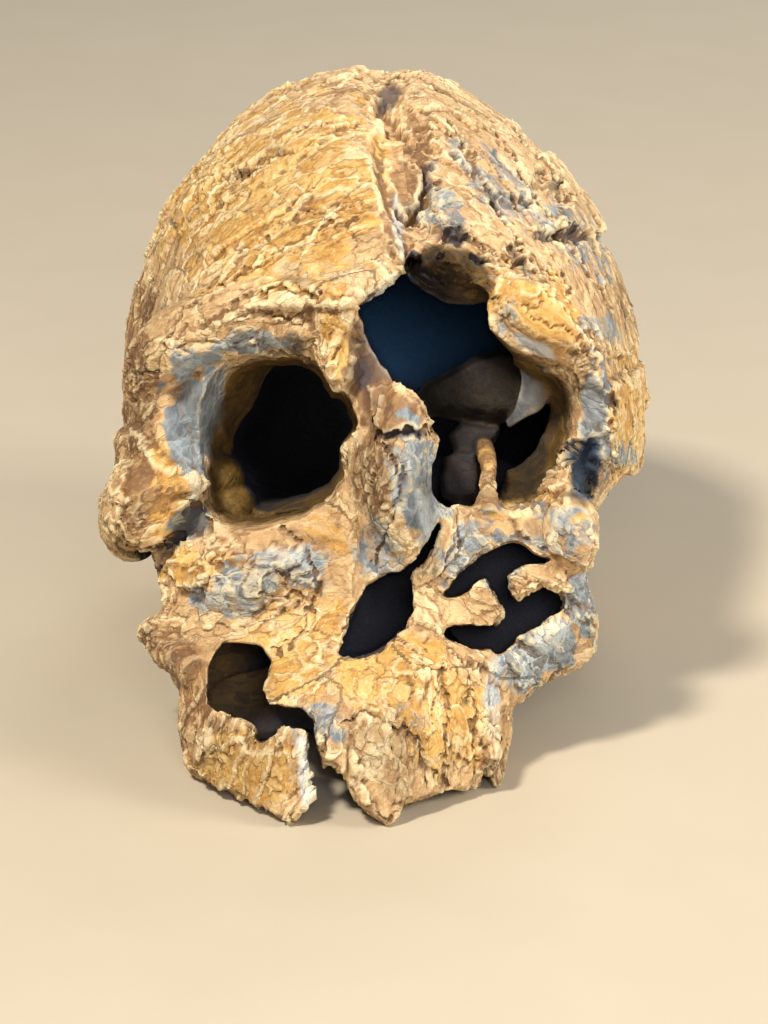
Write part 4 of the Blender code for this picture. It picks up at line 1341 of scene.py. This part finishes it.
# %% Heights of plates, chips, flakes and cracks
# For each size of chip, which of its random numbers sets its height, and by how much.
STEPS = {"slab": (0, 1.1), "plate": (0, 0.55), "chip": (1, 0.3), "crumb": (0, 0.15)}
FLAKE_STEP = 0.4
FLAKE_FROM = 0.5
# How far a plate or chip rises for each millimetre, as shingles do, and the way it rises.
SHINGLE_RISE = {"slab": 0.05, "plate": 0.07, "chip": 0.07}
SHINGLE_WAY = (0.45, -0.5, -0.75)
# Width and depth of the cracks.
CRACKS = {"slab": (0.7, 0.5), "plate": (0.35, 0.2)}


def flake_share(tree, chip):
    """One on the chips that carry a flake, down to zero at their edges."""
    carries = add(tree, "ShaderNodeMapRange",
                  {0: chip["random"][2], 1: FLAKE_FROM - 0.02, 2: FLAKE_FROM + 0.02},
                  interpolation_type="SMOOTHSTEP")
    inside = add(tree, "ShaderNodeMapRange", {0: chip["edge"], 1: 0.1, 2: 0.4},
                 interpolation_type="SMOOTHSTEP")
    return add(tree, "ShaderNodeMath", {0: carries, 1: inside}, operation="MULTIPLY")


def relief_height(tree, found):
    """The height in millimetres, from the sizes of chip that are in found."""
    height = -(sum(step for _, step in STEPS.values()) + FLAKE_STEP) / 2
    for name in [size for size in SHINGLE_RISE if size in found]:
        way = add(tree, "ShaderNodeVectorMath",
                  {0: found[name]["colour"], 1: (1.1,) * 3, 2: [v - 0.55 for v in SHINGLE_WAY]},
                  operation="MULTIPLY_ADD")
        tilt = add(tree, "ShaderNodeVectorMath", {0: found[name]["lean"], 1: way}, "Value",
                   operation="DOT_PRODUCT")
        height = add(tree, "ShaderNodeMath", {0: tilt, 1: SHINGLE_RISE[name], 2: height},
                     operation="MULTIPLY_ADD")
    terms = [(found[name]["random"][axis], step)
             for name, (axis, step) in STEPS.items() if name in found]
    for value, step in (*terms, (flake_share(tree, found["chip"]), FLAKE_STEP)):
        height = add(tree, "ShaderNodeMath", {0: value, 1: step, 2: height},
                     operation="MULTIPLY_ADD")
    for name in [size for size in CRACKS if size in found]:
        width, depth = CRACKS[name]
        sunk = add(tree, "ShaderNodeMapRange",
                   {0: found[name]["edge"], 1: 0.0, 2: width, 3: -depth, 4: 0.0},
                   interpolation_type="SMOOTHSTEP")
        height = add(tree, "ShaderNodeMath", {0: height, 1: sunk}, operation="ADD")
    return height


print("steps in mm:", {name: step for name, (_, step) in STEPS.items()})

# %% [markdown]
# Geometry Nodes evaluates the sum at each point of the mesh and moves the point along its normal.
# A displacement in the material would show only in the render, and the exported mesh would be
# smooth.

# %% Relief in Geometry Nodes


def relief_tree():
    tree = bpy.data.node_groups.new("bone_relief", "GeometryNodeTree")
    tree.interface.new_socket("Geometry", in_out="INPUT", socket_type="NodeSocketGeometry")
    tree.interface.new_socket("Geometry", in_out="OUTPUT", socket_type="NodeSocketGeometry")
    start = tree.nodes.new("NodeGroupInput")
    end = tree.nodes.new("NodeGroupOutput")
    grain = add(tree, "GeometryNodeInputNamedAttribute", {"Name": "grain"},
                data_type="FLOAT_VECTOR")
    strength = add(tree, "GeometryNodeInputNamedAttribute", {"Name": "strength"},
                   data_type="FLOAT")
    height = relief_height(tree, chip_pattern(tree, grain))
    height = add(tree, "ShaderNodeMath", {0: height, 1: strength}, operation="MULTIPLY")
    normal = add(tree, "GeometryNodeInputNormal")
    offset = add(tree, "ShaderNodeVectorMath", {0: normal, "Scale": height}, operation="SCALE")
    moved = add(tree, "GeometryNodeSetPosition", {"Geometry": start.outputs[0], "Offset": offset})
    tree.links.new(moved, end.inputs[0])
    return tree


relief = skull.modifiers.new("relief", "NODES")
relief.node_group = relief_tree()
applied(skull)
print("relief applied to", len(skull.data.vertices), "points")

# %% [markdown]
# ## Where the surface rises and where it is hollow
#
# Rock and dust stay in the hollows and the raised edges are rubbed pale; the colours laid on by the
# rise also paint shade into the hollows and highlights onto the rises. Each point is compared with
# the mean of its neighbours. The difference along the surface's own direction is positive on a
# rise. Blender's own Pointiness would do this too, but an export to other programs loses it.

# %% Rise
ROUNDS = 8


def neighbour_mean(places, starts, ends, rounds):
    count = len(places)
    links = np.bincount(starts, minlength=count) + np.bincount(ends, minlength=count)
    for _ in range(rounds):
        total = np.stack([
            np.bincount(ends, places[starts, axis], count)
            + np.bincount(starts, places[ends, axis], count)
            for axis in range(3)
        ], axis=1)
        places = (places + total / links[:, None]) / 2
    return places


def rise_of(thing):
    points = points_of(thing)
    links = np.empty(len(thing.data.edges) * 2, np.int32)
    thing.data.edges.foreach_get("vertices", links)
    mean = neighbour_mean(points, links[::2], links[1::2], ROUNDS)
    return ((points - mean) * normals_of(thing)).sum(1)


rises = rise_of(skull)
store(skull, "rise", rises)
print("rise in mm, low, middle, high:", np.percentile(rises, (5, 50, 95)).round(2))

# %% [markdown]
# ## Parting the skull into its bones
#
# A skull is 15 bones here, and each is a piece of its own. Every bone has one landmark, and a
# point belongs to the bone whose landmark is nearest, so the borders are flat planes halfway
# between landmarks. The real joints can't be seen under the flakes, so the cut is only as wide
# as a hair. The Boolean makes new points along each cut, and these take the facts of their
# neighbours. The cut faces are fenced off with sharp edges, so they don't darken the skin.

# %% Bones
LANDMARKS = {
    "frontal_right": (-24, 34, 66),
    "frontal_left": (34, 38, 66),
    "parietal_right": (-24, 104, 66),
    "parietal_left": (34, 104, 66),
    "occipital": (0, 158, 16),
    "temporal_right": (-62, 88, -4),
    "temporal_left": (62, 88, -4),
    "skull_base": (0, 62, -2),
    "zygomatic_right": (-58, 22, 4),
    "zygomatic_left": (55, 22, 2),
    "nasal": (3, -6, 5),
    "maxilla_right": (-30, 8, -18),
    "maxilla_left": (30, 8, -20),
    "tooth_sockets_right": (-34, 10, -56),
    "tooth_sockets_left": (12, 6, -56),
}
HAIR = 0.04
ALL_AROUND = 1000.0
FILL_ROUNDS = 6
SURE = 0.9999
# The facts that the material reads.
SHADING_FACTS = (
    "rise", "dark", "navy", "black", "shade", "wall", "smooth", "grey", "gold", "brown", "pale",
    "grain",
)


def borders_of(name):
    """The planes around a bone, the floor among them: a point of each and the way out."""
    own = Vector(LANDMARKS[name])
    to_skull = TO_FLOOR.inverted()
    planes = [(to_skull @ Vector((0, 0, 0)) / MM, to_skull.to_3x3() @ Vector((0, 0, -1)))]
    for other_name, place in LANDMARKS.items():
        if other_name != name:
            away = (Vector(place) - own).normalized()
            planes.append(((own + Vector(place)) / 2 - away * HAIR / 2, away))
    return planes


def region_of(name):
    bm = bmesh.new()
    bmesh.ops.create_cube(bm, size=ALL_AROUND)
    for border, away in borders_of(name):
        everything = bm.verts[:] + bm.edges[:] + bm.faces[:]
        cut = bmesh.ops.bisect_plane(
            bm, geom=everything, dist=0.0001, plane_co=border, plane_no=away, clear_outer=True
        )
        rim = [part for part in cut["geom_cut"] if isinstance(part, bmesh.types.BMEdge)]
        if rim:
            bmesh.ops.edgeloop_fill(bm, edges=rim)
    return object_from(bm, name + "_region")


print("bones:", len(LANDMARKS), "facts that they carry:", len(SHADING_FACTS))

# %% [markdown]
# A Boolean gives the points along its cut no facts, and it shades the cut together with the skin.
# Two helpers mend that: one fills the facts in from the neighbours, and one makes the cut's edges
# sharp, so that the skin keeps its own shading up to the joint.

# %% Facts and edges along the cuts


def refill(thing):
    """Gives the new points along a cut the mean of the facts of their neighbours."""
    mesh = thing.data
    count = len(mesh.vertices)
    sure = np.empty(count, np.float32)
    mesh.attributes["sure"].data.foreach_get("value", sure)
    known = sure > SURE
    links = np.empty(len(mesh.edges) * 2, np.int32)
    mesh.edges.foreach_get("vertices", links)
    starts = np.concatenate((links[::2], links[1::2]))
    ends = np.concatenate((links[1::2], links[::2]))
    columns = {}
    for name in SHADING_FACTS:
        attribute = mesh.attributes[name]
        wide = 3 if attribute.data_type == "FLOAT_VECTOR" else 1
        values = np.empty(count * wide, np.float32)
        attribute.data.foreach_get("vector" if wide == 3 else "value", values)
        columns[name] = values.reshape(count, wide)
    for _ in range(FILL_ROUNDS):
        useful = known[starts] & ~known[ends]
        weight = np.bincount(ends[useful], minlength=count)
        found = ~known & (weight > 0)
        for name, values in columns.items():
            for axis in range(values.shape[1]):
                total = np.bincount(ends[useful], values[starts[useful], axis], count)
                values[found, axis] = total[found] / weight[found]
        known = known | found
    for name, values in columns.items():
        field = "vector" if values.shape[1] == 3 else "value"
        mesh.attributes[name].data.foreach_set(field, values.ravel())
    return int((sure <= SURE).sum())


def fence_cut_faces(thing, planes):
    """Marks every edge of a cut face as sharp."""
    mesh = thing.data
    count = len(mesh.polygons)
    centres, normals = np.empty(count * 3, np.float32), np.empty(count * 3, np.float32)
    mesh.polygons.foreach_get("center", centres)
    mesh.polygons.foreach_get("normal", normals)
    centres, normals = centres.reshape(-1, 3) / MM, normals.reshape(-1, 3)
    on_cut = np.zeros(count, bool)
    for border, away in planes:
        level = np.abs((centres - np.array(border)) @ np.array(away)) < 0.01
        on_cut |= level & (normals @ np.array(away) > 0.99)
    first, length = np.empty(count, np.int32), np.empty(count, np.int32)
    mesh.polygons.foreach_get("loop_start", first)
    mesh.polygons.foreach_get("loop_total", length)
    loop_edges = np.empty(len(mesh.loops), np.int32)
    mesh.loops.foreach_get("edge_index", loop_edges)
    sharp = np.zeros(len(mesh.edges), bool)
    loops_on_cut = np.repeat(on_cut, length)
    sharp[loop_edges[loops_on_cut]] = True
    mesh.attributes.new("sharp_edge", "BOOLEAN", "EDGE").data.foreach_set("value", sharp)
    mesh.polygons.foreach_set("use_smooth", ~on_cut)


print("helpers ready: refill, fence_cut_faces")

# %% [markdown]
# The manifold solver is made for closed bodies such as these and takes a second where the exact one
# takes minutes. Each bone is leaned back and set down where its solid is.

# %% Part the bones
store(skull, "sure", np.ones(len(skull.data.vertices)))
bones = {}
for bone_name in LANDMARKS:
    region = region_of(bone_name)
    bone = skull.copy()
    bone.data = skull.data.copy()
    bpy.context.scene.collection.objects.link(bone)
    cut = bone.modifiers.new("region", "BOOLEAN")
    cut.operation = "INTERSECT"
    cut.object = region
    cut.solver = "MANIFOLD"
    applied(bone)
    bpy.data.objects.remove(region)
    bone.name = bone_name + "_bone"
    new_points = refill(bone)
    fence_cut_faces(bone, borders_of(bone_name))
    bone.data.transform(TO_FLOOR)
    bones[bone_name] = bone
    print(bone_name, len(bone.data.vertices), "points,", new_points, "along the cuts")
bpy.data.objects.remove(skull)

# %% [markdown]
# ## Mineralised bone
#
# The real material is bone in which minerals have replaced the soft part, cemented by brown
# sandstone. Dug out and cleaned, it is matt, pale on the broken edges and brown in the hollows.
# Plain bone has an IOR near 1.55 and no metal, and a rough surface, so the shader is rough and
# dielectric, and all the interest is in its colours and its relief.
#
# Colours are given as sRGB hex values, as a colour picker shows them, and turned to the linear
# values that the renderer works in.

# %% Colours
def linear(hex_colour):
    parts = [int(hex_colour[i:i + 2], 16) / 255 for i in (1, 3, 5)]
    return (*[p / 12.92 if p <= 0.04045 else ((p + 0.055) / 1.055) ** 2.4 for p in parts], 1.0)


# From the darkest chips to the palest.
TAN_BONE = ("#8c6844", "#b08a5e", "#cba677", "#e4c798")
GOLD_BONE = ("#8a612d", "#b88742", "#cfa358", "#e6c27e")
GREY_BONE = ("#4c5156", "#697076", "#818a91", "#9dabb4")
BROWN_BONE = ("#5a3f25", "#775434", "#926b43", "#ad8656")
# Olive-brown walls of the openings, darkened as painted shade of the recess.
SOCKET_WALL_AND_SHADE = ("#33250a", "#583f12", "#77581a", "#99762c")
CREAM = "#efd5a0"
# Pale rubbed edges, laid on rises and rims also as painted highlight.
PALE_EDGE_AND_HIGHLIGHT = "#f6e4b8"
PALE_VEIN = "#ccd4d6"
# Rock in the hollows, laid on by curvature also as painted shade.
ROCK_AND_CAVITY_SHADE = "#6e4c2c"
# Painted shade, violet grey, deep in the openings.
PAINTED_SHADE_VIOLET = "#34333e"
# Painted cool light of the room, blue, deep in the broken forehead and the temple gap.
PAINTED_COOL_LIGHT_BLUE = "#5285b8"
# Painted shadow, near black, deep in the right socket.
PAINTED_SHADOW_BLACK = "#08090d"
SHADOW_BROWN = "#0d0804"
print("cream in linear light:", [round(v, 3) for v in linear(CREAM)])

# %% [markdown]
# Every chip picks its tone with its own random number from a short row of tones, one row for
# each kind of bone. Where a kind gives way to another, the border runs along the chips, because
# the share of the new kind is compared with the chip's random number.

# %% The kinds of bone
# The share of each random number in the tone, and where the tone starts.
TONE_SHARES = {"chip": 0.45, "crumb": 0.25, "plate": 0.25, "fine": 0.45, "broad": 0.45}
TONE_START = -0.42
FINE_SCALE = 2.2
BROAD_SCALE = 0.09


def tone_of(tree, found, fine, broad):
    """The tone of each chip, from zero, the darkest, to one."""
    values = {"chip": found["chip"]["random"][0], "crumb": found["crumb"]["random"][1],
              "plate": found["plate"]["random"][1], "fine": fine, "broad": broad}
    tone = TONE_START
    for name, value in values.items():
        tone = add(tree, "ShaderNodeMath", {0: value, 1: TONE_SHARES[name], 2: tone},
                   operation="MULTIPLY_ADD")
    return tone


def bone_colour(tree, chip, fact, tone):
    colour = add(tree, "ShaderNodeValToRGB", {0: tone}, tones=TAN_BONE)
    for kind, row in (("gold", GOLD_BONE), ("brown", BROWN_BONE), ("grey", GREY_BONE)):
        uneven = add(tree, "ShaderNodeMath", {0: chip["random"][1], 1: 0.5, 2: fact[kind]},
                     operation="MULTIPLY_ADD")
        share = add(tree, "ShaderNodeMapRange", {0: uneven, 1: 0.55, 2: 0.85})
        kind_colour = add(tree, "ShaderNodeValToRGB", {0: tone}, tones=row)
        colour = add(tree, "ShaderNodeMix", {0: share, 6: colour, 7: kind_colour}, 2,
                     data_type="RGBA")
    return colour


print("kinds of bone: tan, gold, brown, grey")

# %% [markdown]
# What lies over the bone are thin layers, each a share and a colour: cream specks, pale rims of the
# plates that stand high with a painted highlight on them, white veins in the grey bone, rock and
# painted shade in the hollows, and rubbed edges with a painted highlight. Then come the walls of
# the openings, darkened with painted shade, the painted shade and shadow deep in them, and the
# shade. One table holds a layer's share as a product of a few factors, and one loop mixes them in
# order.

# %% The layers over the bone
# What each factor of a layer reads, and the four numbers of its Map Range: from, to, gives, gives.
FACTORS = {
    "rough": ("smooth", (0.0, 1.0, 1.0, 0.25)),
    "dry": ("grey", (0.0, 1.0, 1.0, 0.3)),
    "stone": ("brown", (0.0, 1.0, 0.5, 0.1)),
    "stands_high": ("plate_random", (0.5, 0.7, 0.0, 1.0)),
    "rim": ("plate_edge", (0.3, 0.8, 1.0, 0.0)),
    "near_edge": ("chip_edge", (0.12, 0.34, 1.0, 0.0)),
    "broken": ("broad", (0.42, 0.62, 0.1, 1.0)),
    "hollow": ("rise", (-0.34, -0.03, 0.8, 0.0)),
    "rubbed_and_highlight": ("rise", (0.12, 0.4, 0.0, 0.55)),
}
# Rims of high plates and rubbed rises carry pale wear and painted highlight; hollows carry rock and
# painted shade.
LAYERS = (
    (("speck", "rough", "dry"), CREAM),
    (("rim", "stone", "stands_high", "rough"), PALE_EDGE_AND_HIGHLIGHT),
    (("near_edge", "broken", "rough", "grey"), PALE_VEIN),
    (("pale",), PALE_VEIN),
    (("hollow",), ROCK_AND_CAVITY_SHADE),
    (("rubbed_and_highlight",), PALE_EDGE_AND_HIGHLIGHT),
)


def layered(tree, colour, read):
    """The bone's colour under its layers. read holds the values that the factors read."""
    for name, (source, numbers) in FACTORS.items():
        inputs = dict(enumerate((read[source], *numbers)))
        read[name] = add(tree, "ShaderNodeMapRange", inputs)
    for (first, *others), over in LAYERS:
        share = read[first]
        for name in others:
            share = add(tree, "ShaderNodeMath", {0: share, 1: read[name]}, operation="MULTIPLY")
        colour = add(tree, "ShaderNodeMix", {0: share, 6: colour, 7: linear(over)}, 2,
                     data_type="RGBA")
    return colour


def darkened(tree, colour, fact, tone):
    """The walls of the openings, the painted shade, shadow and cool light in them, and the shade."""
    wall = add(tree, "ShaderNodeValToRGB", {0: tone}, tones=SOCKET_WALL_AND_SHADE)
    deep = add(tree, "ShaderNodeMix", {0: fact["navy"], 6: linear(PAINTED_SHADE_VIOLET), 7: linear(PAINTED_COOL_LIGHT_BLUE)}, 2,
               data_type="RGBA")
    deep = add(tree, "ShaderNodeMix", {0: fact["black"], 6: deep, 7: linear(PAINTED_SHADOW_BLACK)}, 2,
               data_type="RGBA")
    for name, over in (("wall", wall), ("dark", deep), ("shade", linear(SHADOW_BROWN))):
        colour = add(tree, "ShaderNodeMix", {0: fact[name], 6: colour, 7: over}, 2,
                     data_type="RGBA")
    return colour


print("layers over the bone:", len(LAYERS))

# %% [markdown]
# The material joins these: the colour, the same relief as a bump, weaker where the bone is smooth,
# and a roughness that wanders a little, as dry bone and the glue on it do.

# %% The material
BUMP = 0.85
SMOOTH_BUMP = 0.32
# The slabs stand in the mesh alone: its points are close enough for them.
BUMP_SIZES = ("plate", "chip", "crumb")
SPECK_SCALE = 1.15
FLAKE_PALE = 0.22
FINE_BUMP = 0.5
BONE_IOR = 1.55
BONE_SHEEN_LEVEL = 0.4


def mineralised_bone():
    material = bpy.data.materials.new("mineralised_bone")
    material.use_nodes = True
    tree = material.node_tree
    shader = tree.nodes["Principled BSDF"]
    fact = {
        name: add(tree, "ShaderNodeAttribute", out="Fac", attribute_name=name)
        for name in SHADING_FACTS if name != "grain"
    }
    grain = add(tree, "ShaderNodeAttribute", out="Vector", attribute_name="grain")
    found = chip_pattern(tree, grain)
    chip, plate = found["chip"], found["plate"]
    fine, broad, speck = (
        add(tree, "ShaderNodeTexNoise", {"Vector": grain, "Scale": scale, "Detail": detail}, "Fac")
        for scale, detail in ((FINE_SCALE, 3.0), (BROAD_SCALE, 2.0), (SPECK_SCALE, 2.0))
    )
    speck = add(tree, "ShaderNodeMapRange", {0: speck, 1: 0.54, 2: 0.64, 3: 0.0, 4: 0.3})
    speck = add(tree, "ShaderNodeMath", {0: flake_share(tree, chip), 1: FLAKE_PALE, 2: speck},
                operation="MULTIPLY_ADD")
    tone = tone_of(tree, found, fine, broad)
    read = {**fact, "speck": speck, "broad": broad, "plate_random": plate["random"][0],
            "plate_edge": plate["edge"], "chip_edge": chip["edge"]}
    colour = layered(tree, bone_colour(tree, chip, fact, tone), read)
    colour = darkened(tree, colour, fact, tone)
    tree.links.new(colour, shader.inputs["Base Color"])

    height = relief_height(tree, {name: found[name] for name in BUMP_SIZES})
    height = add(tree, "ShaderNodeMath", {0: fine, 1: FINE_BUMP, 2: height},
                 operation="MULTIPLY_ADD")
    crisp = add(tree, "ShaderNodeMapRange",
                {0: fact["smooth"], 1: 0.0, 2: 1.0, 3: BUMP, 4: BUMP * SMOOTH_BUMP})
    bump = add(tree, "ShaderNodeBump", {"Height": height, "Strength": crisp, "Distance": MM},
               "Normal")
    tree.links.new(bump, shader.inputs["Normal"])
    matt = add(tree, "ShaderNodeMapRange", {0: fine, 1: 0.3, 2: 0.7, 3: 0.68, 4: 0.9})
    tree.links.new(matt, shader.inputs["Roughness"])
    shader.inputs["IOR"].default_value = BONE_IOR
    shader.inputs["Specular IOR Level"].default_value = BONE_SHEEN_LEVEL
    return material


bone_finish = mineralised_bone()
for bone in bones.values():
    bone.data.materials.clear()
    bone.data.materials.append(bone_finish)
print("nodes in the bone's finish:", len(bone_finish.node_tree.nodes))

# %% [markdown]
# ## Which solids the bones stand for
#
# Each bone replaces the solid of the same name and rides on the one body that there is.

for bone_name, bone in bones.items():
    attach(bone, "root")
    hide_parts(bone_name)
print("bones:", len(bones))

# %% [markdown]
# ## The floor
#
# A plain sheet of warm pale paper, large enough to fill the view from any side. Its fibres are
# drawn three millimetres wide, coarser than real ones, which would not show.

# %% Floor
FLOOR_REACH = 4000.0
FIBRE = 3 * MM
PAPER = ("#b8ac96", "#bdb19c")

bm = bmesh.new()
bmesh.ops.create_grid(bm, x_segments=1, y_segments=1, size=FLOOR_REACH)
floor = object_from(bm, "floor")
paper = bpy.data.materials.new("pale_paper")
paper.use_nodes = True
sheet = paper.node_tree
paper_shader = sheet.nodes["Principled BSDF"]
fibres = add(sheet, "ShaderNodeTexNoise", {"Scale": 1 / FIBRE, "Detail": 2.0}, "Fac")
paper_colour = add(sheet, "ShaderNodeValToRGB", {0: fibres}, tones=PAPER)
sheet.links.new(paper_colour, paper_shader.inputs["Base Color"])
paper_shader.inputs["Roughness"].default_value = 0.9
floor.data.materials.append(paper)
floor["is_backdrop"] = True
print("floor is", round(floor.dimensions[0], 1), "m wide")

# %% [markdown]
# ## Sizes, and the end
#
# The visual skull may stand a little proud of the solids that it replaces, because it has flakes.
# Both boxes are measured, and how far they differ is printed.

# %% Measure the sizes and finish
visual_box = [list(corner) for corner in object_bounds()]
for axis in range(3):
    spare = [round((visual_box[side][axis] - CAD_BOX[side][axis]) * 1000, 2) for side in (0, 1)]
    print("xyz"[axis], "visual past the CAD box, low and high, mm:", spare)
